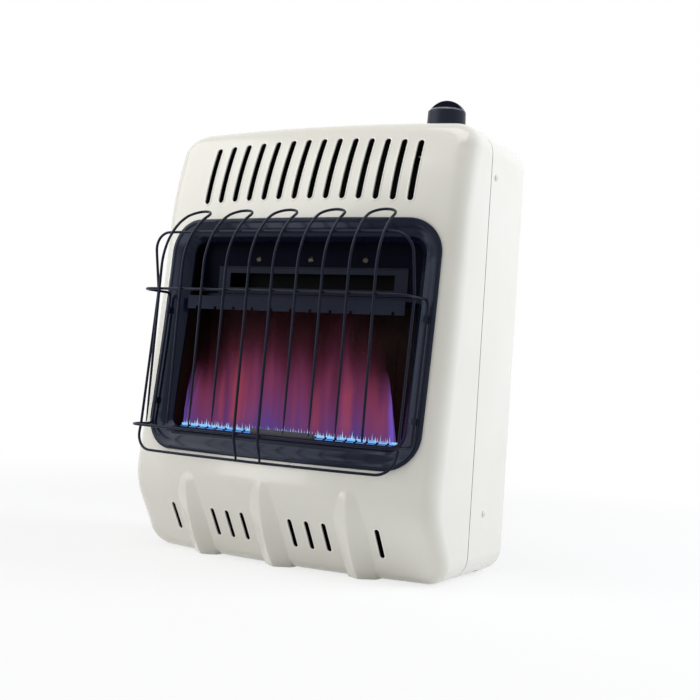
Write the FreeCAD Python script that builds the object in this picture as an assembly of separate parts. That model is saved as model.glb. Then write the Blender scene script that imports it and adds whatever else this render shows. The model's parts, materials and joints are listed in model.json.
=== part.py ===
import FreeCAD, Part
import math
import os

# Ventless blue-flame wall heater. Millimetres, X to the right of someone facing it, +Y into the wall, +Z up.
# The origin is on the wall plane, at the middle of the bottom edge.

# Overall sizes
width = 461.0
height = 590.0
housing_depth = 115.0
gap = 0.3

# Outline seen from the front
top_arch = 7.0
top_corner_extra = 13.0
bottom_corner_extra = 5.0

# Face of the front cover: distance of its middle line from the wall, and its bow from side to side
nose_z = 112.0
nose_depth = 255.4
nose_r = 80.0
chin_angle = 31.8
face_angle = 7.8
crown_drop = 150.0
crown_r = 400.0
bow_z = 142.0
bow_low = 28.4
bow_top = 1.0
bow_power = 2.5
cover_wall = 1.5
cover_edge_r = 27.0
tab_reach = 12.0
tab_height = 30.0

# Slots of the front cover
slot_sides = 8
slot_pitch = 24.0
slot_count = 14
slot_width = 8.4
slot_drop = 23.0
slot_length = 85.0
slot_high_arch = 7.5
slot_low_arch = 4.0
intake_width = 6.4
intake_low_z = 31.0
intake_length = 37.0
intake_group_x = 60.5
intake_outer_x = 155.0

# Ribs on the chin of the cover
rib_x = 121.0
rib_r = 165.0
rib_top_half = 4.0
rib_half = 14.0
rib_taper_z = 80.0
rib_round = 3.5

# Window and its bezel
bezel_half = 206.0
bezel_low_z = 140.0
bezel_drop = 134.0
bezel_corner_r = 46.0
bezel_wall = 1.2
bezel_seat = 0.5
bezel_lip = 5.0
bezel_proud = 4.0
bezel_crease = 20.0
bezel_band = 30.0
bezel_sink = 14.0
bezel_throat = 3.0
window_inset = 7.6
bezel_clear = 3.0

# Wire guard: heights from the bezel's edges, depths from the nose
wire_r = 1.6
wire_sides = 6
hairpin_pitch = 35.6
hairpin_count = 5
guard_mid_drop = 103.5
guard_low_rise = 31.5
guard_mid_out = 30.6
guard_low_out = 38.1
guard_sag = 5.5
hairpin_rise = 27.5
hairpin_bend_r = 90.0
hairpin_bend_angle = 60.0
return_half = 197.0
front_bend_r = 24.0
back_bend_r = 8.0
bow_bend_r = 60.0
weld_gap = 0.45
loop_drop = 26.0
loop_low_drop = 2.0
loop_corner_r = 26.0
loop_mid_in = 12.4
loop_low_out = 5.6
loop_bottom_out = 28.6
loop_bottom_sag = 16.0
clip_length = 8.0
clip_wall = 1.0
clip_inset = 28.0

# Sheet metal
housing_wall = 1.0
back_recess = 4.0
panel_wall = 1.0
vent_count = 6
vent_pitch = 52.0
vent_length = 40.0
vent_width = 9.0
vent_x = -30.0
vent_y = -70.0

# Firebox and hood
firebox_half = 177.0
firebox_depth = 28.0
firebox_floor_drop = 2.0
firebox_drop = 26.0
firebox_flange = 14.0
firebox_foot = 16.0
groove_count = 5
groove_pitch = 64.0
groove_half = 4.0
groove_depth = 0.5
groove_margin = 40.0
hood_in = 87.4
hood_height = 85.0
outlet_half = 128.0
outlet_drop = 64.0
outlet_height = 20.0
outlet_frame = 19.0
outlet_border = 8.0
lip_half = 166.0
lip_rise = 4.0
lip_flange = 17.0
lip_notch_pitch = 30.0
lip_notch_width = 4.0
lip_notch = 4.0
hood_screw_x = 83.3
hood_screw_drop = 25.0

# Burner
burner_half = 166.0
burner_in = 13.0
burner_depth = 30.0
burner_rise = 29.0
burner_height = 22.0
burner_fold_r = 5.0
port_pitch = 15.0
port_length = 9.0
port_width = 1.6
centre_plate_half = 48.0
mixer_r = 11.0
mixer_reach = 12.0
mixer_sides = 16
injector_gap = 12.0

# Control
knob_x = 152.0
knob_y = -94.0
knob_r = 26.0
knob_skirt = 24.0
knob_dome = 13.0
knob_lift = 1.5
knob_travel = 3.0
stem_r = 4.0
collar_r = 7.0
valve_r = 16.0
valve_drop = 42.0
valve_height = 52.0
valve_seat = 1.0
hole_clear = 1.0

# Gas train at the bottom right
gas_in = 27.5
gas_y = -52.0
regulator_z = 86.0
regulator_r = 24.0
regulator_depth = 26.0
inlet_thread_r = 7.35
inlet_thread_length = 14.0
inlet_hex = 24.0
inlet_low_z = 4.0
tube_r = 3.2
feed_lane = 41.0
pilot_tube_r = 2.0
thermo_lead_r = 1.2
spark_lead_r = 1.5
pilot_pitch = 14.0
pilot_r = 3.2

# Wall bracket and screws
bracket_hole_pitch = 406.4
bracket_drop = 90.0
bracket_height = 40.0
bracket_wall = 1.5
bracket_hole_r = 3.0
hook_x = 120.0
hook_width = 40.0
lower_hole_x = 150.0
lower_hole_z = 60.0
lower_hole_r = 3.5
screw_r = 2.0
screw_sides = 8
screw_head_r = 4.5
screw_head = 2.4
screw_step = 1.5
screw_crown_r = 3.4
upper_screw_y = -100.0
upper_screw_drop = 68.0
lower_screw_y = -72.0
lower_screw_z = 84.0

# Places that follow from the sizes
X = FreeCAD.Vector(1, 0, 0)
Y = FreeCAD.Vector(0, 1, 0)
Z = FreeCAD.Vector(0, 0, 1)
half = width / 2
seam_y = -housing_depth
top_corner_r = cover_edge_r + top_corner_extra
bottom_corner_r = cover_edge_r + bottom_corner_extra
crown_z = height - crown_drop
slot_high_z = height - slot_drop
slot_low_z = slot_high_z - slot_length
intake_high_z = intake_low_z + intake_length
bezel_high_z = height - bezel_drop
guard_mid_z = bezel_high_z - guard_mid_drop
guard_low_z = bezel_low_z + guard_low_rise
guard_mid_y = -nose_depth - guard_mid_out
guard_low_y = -nose_depth - guard_low_out
hairpin_bend_z = guard_mid_z + hairpin_rise
loop_top_z = bezel_high_z - loop_drop
loop_bottom_z = bezel_low_z - loop_low_drop
loop_mid_y = -nose_depth + loop_mid_in
loop_low_y = -nose_depth - loop_low_out
loop_bottom_y = -nose_depth - loop_bottom_out
clip_z = (guard_low_z + clip_inset, guard_mid_z - clip_inset)
firebox_floor_z = bezel_low_z - firebox_floor_drop
firebox_top_z = bezel_high_z - firebox_drop
hood_y = -nose_depth + hood_in
firebox_back_y = hood_y + firebox_depth
hood_low_z = firebox_top_z - hood_height
outlet_low_z = firebox_top_z - outlet_drop
outlet_high_z = outlet_low_z + outlet_height
hood_screw_z = firebox_top_z - hood_screw_drop
burner_front_y = -nose_depth + bow_low + burner_in
burner_top_z = firebox_floor_z + burner_rise
lip_y = burner_front_y + 2
knob_base_z = height + knob_lift
valve_top_z = height - valve_drop
valve_bracket_z = valve_top_z + valve_seat
gas_x = half - gas_in
bracket_z = height - bracket_drop
side_screws = ((upper_screw_y, height - upper_screw_drop), (lower_screw_y, lower_screw_z))


def V(x, y, z):
    return FreeCAD.Vector(x, y, z)


def box(x0, x1, y0, y1, z0, z1):
    return Part.makeBox(x1 - x0, y1 - y0, z1 - z0, V(x0, y0, z0))


def rod(r, start, end):
    """Round bar between two points."""
    return Part.makeCylinder(r, (end - start).Length, start, end - start)


def ring(outer_r, inner_r, start, end):
    return rod(outer_r, start, end).cut(rod(inner_r, start, end))


def round_ends(length, wide):
    """Corners of a slot's outline about its middle: along it and across it, with many-sided round ends."""
    r = wide / 2
    reach = length / 2 - r
    steps = slot_sides // 2
    corners = []
    for way in (1, -1):
        for i in range(steps + 1):
            turn = math.pi * i / steps - math.pi / 2
            corners.append((way * (reach + r * math.cos(turn)), way * r * math.sin(turn)))
    return corners


def slot_cutter(x, low_z, high_z, wide, y0, y1):
    """Upright slot with round ends, cut along Y."""
    corners = round_ends(high_z - low_z, wide)
    points = [V(x + b, y0, (low_z + high_z) / 2 + a) for a, b in corners]
    return Part.Face(Part.makePolygon(points + points[:1])).extrude(V(0, y1 - y0, 0))


def level_slot(x0, x1, y, z0, wide, z1):
    """Slot along X with round ends, cut along Z."""
    corners = round_ends(x1 - x0, wide)
    points = [V((x0 + x1) / 2 + a, y + b, z0) for a, b in corners]
    return Part.Face(Part.makePolygon(points + points[:1])).extrude(V(0, 0, z1 - z0))


def hex_bar(flats, start, end):
    """Hexagonal bar along Z."""
    r = flats / math.sqrt(3)
    corners = [start + V(r * math.cos(i * math.pi / 3), r * math.sin(i * math.pi / 3), 0) for i in range(7)]
    return Part.Face(Part.makePolygon(corners)).extrude(end - start)


def bent_path(points, bend_r, closed=False):
    """Straight runs through the points, joined by tangent arcs of one radius or of a radius per point."""
    count = len(points)
    radii = bend_r if isinstance(bend_r, list) else [bend_r] * count
    corners = range(count) if closed else range(1, count - 1)
    trims = {}
    for i in corners:
        here = points[i]
        back = (points[i - 1] - here).normalize()
        ahead = (points[(i + 1) % count] - here).normalize()
        turn = math.pi - back.getAngle(ahead)
        reach = radii[i] * math.tan(turn / 2)
        middle = (back + ahead).normalize() * (radii[i] / math.cos(turn / 2) - radii[i])
        trims[i] = (here + back * reach, here + middle, here + ahead * reach)
    edges = []
    for i in range(count if closed else count - 1):
        j = (i + 1) % count
        start = trims[i][2] if i in trims else points[i]
        end = trims[j][0] if j in trims else points[j]
        if (end - start).Length > 1e-6:
            edges.append(Part.LineSegment(start, end).toShape())
        if j in trims:
            edges.append(Part.Arc(*trims[j]).toShape())
    return Part.Wire(edges)


def closed_solid(faces):
    """Solid inside a closed set of faces."""
    shell = Part.makeShell(faces)
    shell.sewShape()
    solid = Part.makeSolid(shell)
    if solid.Volume < 0:
        shell.reverse()
        solid = Part.makeSolid(shell)
    return solid


def pipe(path, r, sides=wire_sides):
    """Wire along straight runs and arcs, with a many-sided section of the same area as a round one."""
    edges = path.OrderedEdges
    here = edges[0].valueAt(edges[0].FirstParameter)
    along = edges[0].tangentAt(edges[0].FirstParameter)
    if len(edges) > 1:
        joint = edges[1].Vertexes[0].Point, edges[1].Vertexes[-1].Point
        if min((here - p).Length for p in joint) < 1e-6:
            here = edges[0].valueAt(edges[0].LastParameter)
            along = edges[0].tangentAt(edges[0].LastParameter) * -1
    step = 2 * math.pi / sides
    reach = r * math.sqrt(step / math.sin(step))
    first = along.cross(X if abs(along.x) < 0.9 else Z).normalize()
    second = along.cross(first)
    corners = []
    for i in range(sides):
        out = first * math.cos(i * step) + second * math.sin(i * step)
        corners.append(here + out * reach)
    section = Part.makePolygon(corners + corners[:1])
    start = Part.Face(section)
    faces = []
    for edge in edges:
        ends = edge.valueAt(edge.FirstParameter), edge.valueAt(edge.LastParameter)
        onward = (ends[0] - here).Length < (ends[1] - here).Length
        if edge.Curve.TypeId == "Part::GeomCircle":
            turn = math.degrees(edge.LastParameter - edge.FirstParameter) * (1 if onward else -1)
            faces += section.revolve(edge.Curve.Center, edge.Curve.Axis, turn).Faces
            section = section.copy()
            section.rotate(edge.Curve.Center, edge.Curve.Axis, turn)
        else:
            run = (ends[1] - ends[0]) * (1 if onward else -1)
            faces += section.extrude(run).Faces
            section = section.copy()
            section.translate(run)
        here = ends[1] if onward else ends[0]
    if not path.isClosed():
        faces += [start, Part.Face(section)]
    return closed_solid(faces)


def bar(r, start, end, sides=screw_sides):
    """Straight many-sided bar, for small round pieces and the holes they go through."""
    return pipe(Part.Wire([Part.LineSegment(start, end).toShape()]), r, sides)


# Front face of the cover
def face_depth(z):
    """How far the middle of the face stands from the wall at a height."""
    chin = math.radians(chin_angle)
    lean = math.radians(face_angle)
    chin_z = nose_z - nose_r * math.sin(chin)
    lean_z = nose_z + nose_r * math.sin(lean)
    if z < chin_z:
        return nose_depth - nose_r * (1 - math.cos(chin)) - math.tan(chin) * (chin_z - z)
    if z < lean_z:
        return nose_depth - nose_r + math.sqrt(nose_r ** 2 - (z - nose_z) ** 2)
    line = nose_depth - nose_r * (1 - math.cos(lean)) - math.tan(lean) * (min(z, crown_z) - lean_z)
    if z < crown_z:
        return line
    rise = min(math.sin(lean) + (z - crown_z) / crown_r, 0.95)
    return line - crown_r * (math.cos(lean) - math.sqrt(1 - rise ** 2))


def face_bow(z):
    """How much further back the face is at the side edges than in the middle."""
    share = min(max((z - bow_z) / (height - bow_z), 0.0), 1.0)
    return bow_top + (bow_low - bow_top) * (1 - share ** bow_power)


def face_y(x, z):
    return -face_depth(z) + face_bow(z) * (x / half) ** 2


def outline(inset):
    """Front outline with an arched top and round corners, in the plane Y = 0."""
    a = half - inset
    arch_r = (half ** 2 + top_arch ** 2) / (2 * top_arch)
    arch_z = height - arch_r
    arch_r = arch_r - inset
    top_r = top_corner_r - inset
    low_r = bottom_corner_r - inset
    top_x = a - top_r
    top_z = arch_z + math.sqrt((arch_r - top_r) ** 2 - top_x ** 2)
    touch = (V(top_x, 0, top_z) - V(0, 0, arch_z)).normalize() * arch_r + V(0, 0, arch_z)
    mid = math.sqrt(0.5)
    low_x = a - low_r
    low_z = inset + low_r
    top_mid = (V(a, 0, top_z) + touch) * 0.5 - V(top_x, 0, top_z)
    top_mid = V(top_x, 0, top_z) + top_mid.normalize() * top_r

    def mirror(p):
        return V(-p.x, 0, p.z)

    low_mid = V(low_x + low_r * mid, 0, low_z - low_r * mid)
    edges = [
        Part.LineSegment(V(-low_x, 0, inset), V(low_x, 0, inset)),
        Part.Arc(V(low_x, 0, inset), low_mid, V(a, 0, low_z)),
        Part.LineSegment(V(a, 0, low_z), V(a, 0, top_z)),
        Part.Arc(V(a, 0, top_z), top_mid, touch),
        Part.Arc(touch, V(0, 0, height - inset), mirror(touch)),
        Part.Arc(mirror(touch), mirror(top_mid), V(-a, 0, top_z)),
        Part.LineSegment(V(-a, 0, top_z), V(-a, 0, low_z)),
        Part.Arc(V(-a, 0, low_z), mirror(low_mid), V(-low_x, 0, inset)),
    ]
    return Part.Wire([e.toShape() for e in edges])


def outline_prism(inset, y0, y1):
    wire = outline(inset)
    wire.translate(V(0, y0, 0))
    return Part.Face(wire).extrude(V(0, y1 - y0, 0))


def behind_face(offset):
    """Everything behind the cover's face, moved back by an offset."""
    reach = half + 30
    chin_z = nose_z - nose_r * math.sin(math.radians(chin_angle))
    lean_z = nose_z + nose_r * math.sin(math.radians(face_angle))
    levels = [-20.0, chin_z * 0.4, chin_z - 8, chin_z + 6, (chin_z + nose_z) / 2 + 3, nose_z, lean_z + 6]
    levels += [lean_z + (crown_z - lean_z) * share for share in (0.1, 0.25, 0.4, 0.55, 0.7, 0.85, 0.97)]
    levels += [crown_z + (height - crown_z) * share for share in (0.15, 0.35, 0.6, 0.85, 1.15)]
    sections = []
    for z in levels:
        edge_y = face_y(reach, z) + offset
        mid_y = face_y(0, z) + offset
        left = V(-reach, edge_y, z)
        right = V(reach, edge_y, z)
        bow = Part.Arc(left, V(0, mid_y, z), right).toShape()
        sides = Part.makePolygon([right, V(reach, 0, z), V(-reach, 0, z), left])
        sections.append(Part.Wire([bow] + sides.Edges))
    return Part.makeLoft(sections, True, False)


def cover_block(inset):
    """Solid of the cover's outer or inner surface, with its front edge rounded."""
    block = outline_prism(inset, seam_y + (5 if inset else 0), -nose_depth - 60)
    block = block.common(behind_face(inset))
    rim = []
    for e in block.Edges:
        ys = [v.Point.y for v in e.Vertexes]
        if max(ys) < seam_y - 1:
            rim.append(e)
    return block.makeFillet(cover_edge_r - inset, rim)


def rib_block(x, inset):
    """Ridge that leaves the face at the nose and runs straighter than the chin to the bottom edge."""
    top_z = nose_z + 4
    sections = []
    steps = 5
    for i in range(steps + 1):
        z = top_z - (top_z + 2) * i / steps
        drop = max(nose_z - z, 0.0)
        ridge = nose_depth - rib_r + math.sqrt(rib_r ** 2 - drop ** 2)
        tall = ridge - face_depth(z) - (1.0 if i == 0 else 0.0)
        share = min((top_z - z) / (top_z - rib_taper_z), 1.0)
        wide = rib_top_half + (rib_half - rib_top_half) * share
        skin = face_y(x, z) + inset
        flank = max(tall, 0.6) / wide
        sink = flank * 2
        crest = V(x, skin - tall, z)
        left = V(x - wide - 2, skin + sink, z)
        right = V(x + wide + 2, skin + sink, z)
        back = skin + sink + 6
        trim = min(rib_round * share + 0.5, wide * 0.5)
        slope = (left - crest).normalize()
        shoulder = crest + slope * trim
        other = V(2 * x - shoulder.x, shoulder.y, z)
        top = V(x, (crest.y + shoulder.y) / 2, z)
        edges = [
            Part.LineSegment(V(left.x, back, z), left),
            Part.LineSegment(left, shoulder),
            Part.Arc(shoulder, top, other),
            Part.LineSegment(other, right),
            Part.LineSegment(right, V(right.x, back, z)),
            Part.LineSegment(V(right.x, back, z), V(left.x, back, z)),
        ]
        sections.append(Part.Wire([e.toShape() for e in edges]))
    return Part.makeLoft(sections, True, False)


def window_prism(inset, y0, y1):
    a = bezel_half - inset
    low = bezel_low_z + inset
    high = bezel_high_z - inset
    r = bezel_corner_r - inset
    block = box(-a, a, y0, y1, low, high)
    uprights = [e for e in block.Edges if abs(e.tangentAt(e.FirstParameter).y) > 0.99]
    return block.makeFillet(r, uprights)


def front_cover():
    outer = cover_block(0)
    inner = cover_block(cover_wall)
    for x in (-rib_x, 0, rib_x):
        outer = outer.fuse(rib_block(x, 0))
        inner = inner.fuse(rib_block(x, cover_wall))
    room = box(-half, half, -nose_depth - 60, 0, 0, height)
    cover = outer.common(room).cut(inner)
    front = -nose_depth - 50
    cutters = [window_prism(window_inset, front, seam_y - 1)]
    for i in range(slot_count):
        x = (i - (slot_count - 1) / 2) * slot_pitch
        side = (2 * x / (slot_pitch * (slot_count - 1))) ** 2
        low = slot_low_z - slot_low_arch * side
        high = slot_high_z - slot_high_arch * side
        cutters.append(slot_cutter(x, low, high, slot_width, front, seam_y - 5))
    for side in (-1, 1):
        places = [intake_group_x + i * slot_pitch for i in (-1, 0, 1)] + [intake_outer_x]
        for x in places:
            cutter = slot_cutter(side * x, intake_low_z, intake_high_z, intake_width, front, seam_y - 5)
            cutters.append(cutter)
    cover = cover.cut(Part.makeCompound(cutters))
    tab_x = half - housing_wall - gap
    for side in (-1, 1):
        for y, z in side_screws:
            x0, x1 = sorted((side * tab_x, side * (tab_x - cover_wall)))
            tab = box(x0, x1, seam_y - 8, y + tab_reach, z - tab_height / 2, z + tab_height / 2)
            hole = bar(screw_r + gap, V(x0 - 1, y, z), V(x1 + 1, y, z))
            cover = cover.fuse(tab.cut(hole))
    return cover.removeSplitter()


def rear_housing():
    shell = outline_prism(0, seam_y, 0)
    inside = outline_prism(housing_wall, seam_y - 1, -back_recess - housing_wall)
    recess = outline_prism(housing_wall, -back_recess, 1)
    shell = shell.cut(inside).cut(recess)
    cutters = []
    for side in (-1, 1):
        for y, z in side_screws:
            cutters.append(bar(screw_r + gap, V(side * (half - 5), y, z), V(side * (half + 5), y, z)))
        cutters.append(rod(lower_hole_r, V(side * lower_hole_x, -10, lower_hole_z),
                           V(side * lower_hole_x, 5, lower_hole_z)))
        hook = hook_width + 2
        cutters.append(box(side * hook_x - hook / 2, side * hook_x + hook / 2, -10, 1,
                           bracket_z - 12, bracket_z + gap))
    for i in range(vent_count):
        x = vent_x + (i - (vent_count - 1) / 2) * vent_pitch
        reach = vent_length / 2
        cutters.append(level_slot(x - reach, x + reach, vent_y, -1, vent_width, housing_wall + 1))
    stem_hole = collar_r + hole_clear
    cutters.append(rod(stem_hole, V(knob_x, knob_y, height - 40), V(knob_x, knob_y, height + 5)))
    cutters.append(rod(inlet_hex / math.sqrt(3) + hole_clear, V(gas_x, gas_y, -1), V(gas_x, gas_y, 20)))
    return shell.cut(Part.makeCompound(cutters))


# Bezel round the window
def wrap_loop(inset, proud):
    """Round-cornered loop wrapped on the cover's face, at an inset and a height over it."""
    a = bezel_half - inset
    low = bezel_low_z + inset
    high = bezel_high_z - inset
    r = max(bezel_corner_r - inset, 8.0)

    def lift(x, z):
        return V(x, face_y(x, z) - proud, z)

    def curve(points):
        spline = Part.BSplineCurve()
        spline.interpolate([lift(x, z) for x, z in points])
        return spline.toShape()

    def run(x0, z0, x1, z1, steps):
        return curve([(x0 + (x1 - x0) * i / steps, z0 + (z1 - z0) * i / steps) for i in range(steps + 1)])

    def corner(cx, cz, start):
        angles = [start + i * math.pi / 8 for i in range(5)]
        return curve([(cx + r * math.cos(t), cz + r * math.sin(t)) for t in angles])

    return [
        run(-a + r, low, a - r, low, 4),
        corner(a - r, low + r, -math.pi / 2),
        run(a, low + r, a, high - r, 4),
        corner(a - r, high - r, 0),
        run(a - r, high, -a + r, high, 4),
        corner(-a + r, high - r, math.pi / 2),
        run(-a, high - r, -a, low + r, 4),
        corner(-a + r, low + r, math.pi),
    ]


def ruled_ring(section):
    """Closed ring whose section is a polygon of (inset, height over the face)."""
    loops = [wrap_loop(inset, proud) for inset, proud in section]
    faces = []
    for i, loop in enumerate(loops):
        after = loops[(i + 1) % len(loops)]
        for a, b in zip(loop, after):
            faces.append(Part.makeRuledSurface(a, b))
    return closed_solid(faces)


def window_bezel():
    wall = bezel_wall
    section = [
        (0.0, bezel_seat),
        (0.6, bezel_proud - 0.3),
        (bezel_lip, bezel_proud),
        (bezel_lip + 2, bezel_proud - 2),
        (bezel_crease, -2.0),
        (bezel_band, -bezel_sink),
        (bezel_band + 0.4, -bezel_sink - bezel_throat),
        (bezel_band - wall, -bezel_sink - bezel_throat),
        (bezel_band - wall - 0.3, -bezel_sink - 0.4),
        (bezel_crease - 0.6, -2.0 - wall),
        (bezel_lip + 1.6, bezel_proud - 2 - wall),
        (bezel_lip, bezel_seat),
    ]
    return ruled_ring(section)


# Wire guard
def bowed(x, y):
    """Depth of a guard wire that bows forward at the middle."""
    return y + guard_sag * (x / (hairpin_pitch * 4.5)) ** 2


def hairpin_y(x, z):
    """Depth of a hairpin leg at a height up to its bend."""
    lean = (guard_mid_y - guard_low_y) / (guard_mid_z - guard_low_z)
    return bowed(x, guard_low_y + lean * (z - guard_low_z)) - 2 * wire_r - weld_gap


def loop_bottom(x):
    """Depth of the loop's bottom run."""
    return loop_bottom_y + loop_bottom_sag * (x / return_half) ** 2


def hairpin(mid_x, angle):
    """One hairpin: two legs, their backward bends and a half circle over the top."""
    r = hairpin_pitch / 2
    foot_z = guard_low_z - 3.5
    lean = math.atan((guard_mid_y - guard_low_y) / (guard_mid_z - guard_low_z))
    feet = [V(x, hairpin_y(x, foot_z), foot_z) for x in (mid_x - r, mid_x + r)]
    across = feet[1] - feet[0]
    inward = Z.cross(across).normalize()
    up = inward * math.sin(lean) + Z * math.cos(lean)
    swing = inward * math.cos(lean) - Z * math.sin(lean)
    turn = angle - lean
    rise = (hairpin_bend_z - foot_z) / math.cos(lean)
    legs = []
    for foot in feet:
        start = foot + up * rise
        half_way = start + (swing * (1 - math.cos(turn / 2)) + up * math.sin(turn / 2)) * hairpin_bend_r
        end = start + (swing * (1 - math.cos(turn)) + up * math.sin(turn)) * hairpin_bend_r
        run = [Part.LineSegment(foot, start).toShape()]
        if abs(mid_x) < 1:
            tail = V(foot.x, loop_bottom(foot.x) - 2 * wire_r - weld_gap, loop_bottom_z - 2)
            run = bent_path([tail, foot, start], 12.0).Edges
        legs.append((run, start, half_way, end))
    left, right = legs
    apex = (left[3] + right[3]) * 0.5 + (up * math.cos(turn) + swing * math.sin(turn)) * (across.Length / 2)
    edges = list(left[0])
    edges.append(Part.Arc(left[1], left[2], left[3]).toShape())
    edges.append(Part.Arc(left[3], apex, right[3]).toShape())
    edges.append(Part.Arc(right[3], right[2], right[1]).toShape())
    edges += right[0]
    return pipe(Part.Wire(Part.__sortEdges__(edges)), wire_r)


def guard_hairpins():
    """Five hairpins in front of the cross wires; the legs of the middle one reach the loop below."""
    angle = math.radians(hairpin_bend_angle)
    places = [(i - (hairpin_count - 1) / 2) * 2 * hairpin_pitch for i in range(hairpin_count)]
    return Part.makeCompound([hairpin(x, angle) for x in places])


def side_run_y(z):
    """Depth of the guard's straight side runs, which lie on the bezel's lip."""
    ends = [face_y(return_half, end) - bezel_proud - gap - wire_r for end in (guard_low_z, guard_mid_z)]
    share = (z - guard_low_z) / (guard_mid_z - guard_low_z)
    return ends[0] + (ends[1] - ends[0]) * share


def guard_frame():
    """Closed wire: two bowed cross wires, their returns to the bezel and the side runs that join them."""
    stations = (-120.0, 0.0, 120.0)
    points = []
    radii = []
    for z, y, way in ((guard_low_z, guard_low_y, 1), (guard_mid_z, guard_mid_y, -1)):
        points.append(V(-way * return_half, bowed(return_half, y), z))
        radii.append(front_bend_r)
        for x in stations:
            points.append(V(way * x, bowed(x, y), z))
            radii.append(bow_bend_r)
        points.append(V(way * return_half, bowed(return_half, y), z))
        radii.append(front_bend_r)
        points.append(V(way * return_half, side_run_y(z), z))
        radii.append(back_bend_r)
        other_z = guard_mid_z if way > 0 else guard_low_z
        points.append(V(way * return_half, side_run_y(other_z), other_z))
        radii.append(back_bend_r)
    return pipe(bent_path(points, radii, True), wire_r)


def guard_loop():
    """Closed loop inside the returns: behind the hairpins at the top, under them at the bottom."""
    side = return_half - 2 * wire_r - weld_gap
    lean = math.atan((guard_mid_y - guard_low_y) / (guard_mid_z - guard_low_z))
    tilt = math.asin((loop_top_z - hairpin_bend_z) / hairpin_bend_r + math.sin(lean))
    behind = hairpin_bend_r * (math.cos(lean) - math.cos(tilt)) + (2 * wire_r + 2 * weld_gap) / math.cos(tilt)

    def top_y(x):
        return hairpin_y(x, hairpin_bend_z) + behind

    points = [V(x, loop_bottom(x), loop_bottom_z) for x in (-110.0, 0.0, 110.0)]
    points.append(V(side, loop_bottom(side), loop_bottom_z))
    points.append(V(side, loop_low_y, guard_low_z))
    points.append(V(side, loop_mid_y, guard_mid_z))
    points.append(V(side, top_y(side), loop_top_z))
    points += [V(x, top_y(x), loop_top_z) for x in (110.0, 0.0, -110.0)]
    points.append(V(-side, top_y(side), loop_top_z))
    points.append(V(-side, loop_mid_y, guard_mid_z))
    points.append(V(-side, loop_low_y, guard_low_z))
    points.append(V(-side, loop_bottom(side), loop_bottom_z))
    radii = [bow_bend_r] * 3 + [loop_corner_r, 20.0, 40.0, loop_corner_r]
    radii += [bow_bend_r] * 3 + [loop_corner_r, 40.0, 20.0, loop_corner_r]
    return pipe(bent_path(points, radii, True), wire_r)


def guard_clips():
    """Folded saddles that hold the side runs on the bezel's lip."""
    clips = []
    lean = math.atan((side_run_y(clip_z[1]) - side_run_y(clip_z[0])) / (clip_z[1] - clip_z[0]))
    inner = wire_r * 1.1 + gap
    outer = inner + clip_wall
    slant = math.tan(math.pi / 8)
    foot = wire_r

    def strip(r):
        cut = r * slant
        return [V(-r, foot, 0), V(-r, -cut, 0), V(-cut, -r, 0), V(cut, -r, 0), V(r, -cut, 0), V(r, foot, 0)]

    outline_points = strip(outer) + strip(inner)[::-1]
    profile = Part.Face(Part.makePolygon(outline_points + outline_points[:1]))
    for side in (-1, 1):
        for z in clip_z:
            saddle = profile.extrude(Z * clip_length)
            saddle.rotate(V(0, 0, 0), X, -math.degrees(lean))
            saddle.translate(V(side * return_half, side_run_y(z), z))
            clips.append(saddle)
    return Part.makeCompound(clips)


# Firebox and hood
def firebox_front_y(z):
    """Front edge of the firebox sides, just behind the bezel's throat."""
    return face_y(firebox_half, z) + bezel_sink + bezel_throat + bezel_clear


def firebox_side(side):
    x = side * firebox_half
    points = [
        V(x, firebox_back_y - gap, firebox_floor_z + 2),
        V(x, firebox_front_y(firebox_floor_z + 2), firebox_floor_z + 2),
        V(x, firebox_front_y(firebox_top_z), firebox_top_z),
        V(x, firebox_back_y - gap, firebox_top_z),
    ]
    panel = Part.Face(Part.makePolygon(points + points[:1])).extrude(V(side * panel_wall, 0, 0))
    inner = firebox_half + panel_wall
    x0, x1 = sorted((side * firebox_half, side * (inner + firebox_flange)))
    flange_y = firebox_back_y - gap
    flange = box(x0, x1, flange_y - panel_wall, flange_y, firebox_floor_z + 2, firebox_top_z)
    side_panel = panel.fuse(flange).removeSplitter()
    if side > 0:
        y, z = mixer_axis()
        side_panel = side_panel.cut(bar(mixer_r - 2.5 + gap, V(x - 5, y, z), V(x + 5, y, z), mixer_sides))
    return side_panel


def firebox_back():
    """Back wall with upright stiffening ribs and bent legs that stand on the housing's back."""
    edge = firebox_half + 20
    back = box(-edge, edge, firebox_back_y, firebox_back_y + panel_wall, firebox_floor_z + 2, firebox_top_z)
    low = firebox_floor_z + groove_margin
    high = hood_low_z - groove_margin
    for i in range(groove_count):
        x = (i - (groove_count - 1) / 2) * groove_pitch
        end_y = firebox_back_y + groove_depth
        groove = box(x - groove_half, x + groove_half, firebox_back_y - 1, end_y, low, high)
        back = back.cut(groove)
    leg_y = -back_recess - housing_wall - gap
    for side in (-1, 1):
        x0, x1 = sorted((side * edge, side * (edge - panel_wall)))
        leg = box(x0, x1, firebox_back_y, leg_y, firebox_floor_z + 40, firebox_top_z - 20)
        f0, f1 = sorted((side * edge, side * (edge - firebox_foot)))
        foot = box(f0, f1, leg_y - panel_wall, leg_y, firebox_floor_z + 40, firebox_top_z - 20)
        back = back.fuse(leg).fuse(foot)
    return back.removeSplitter()


def firebox_floor():
    front = face_y(firebox_half, firebox_floor_z) + bezel_sink + 6
    side_x = firebox_half
    top = firebox_floor_z + 2 - gap
    tray = box(-side_x, side_x, front, firebox_back_y + panel_wall, top - panel_wall, top)
    skirt = box(-side_x, side_x, front, front + panel_wall, firebox_floor_z - 20, firebox_floor_z + 1)
    tray = tray.fuse(skirt)
    low = V(0, lead_y(), firebox_floor_z - 10)
    for x in (-pilot_pitch, 0, pilot_pitch):
        tray = tray.cut(bar(pilot_tube_r + hole_clear, low + X * x, low + X * x + Z * 20))
    return tray.removeSplitter()


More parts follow.
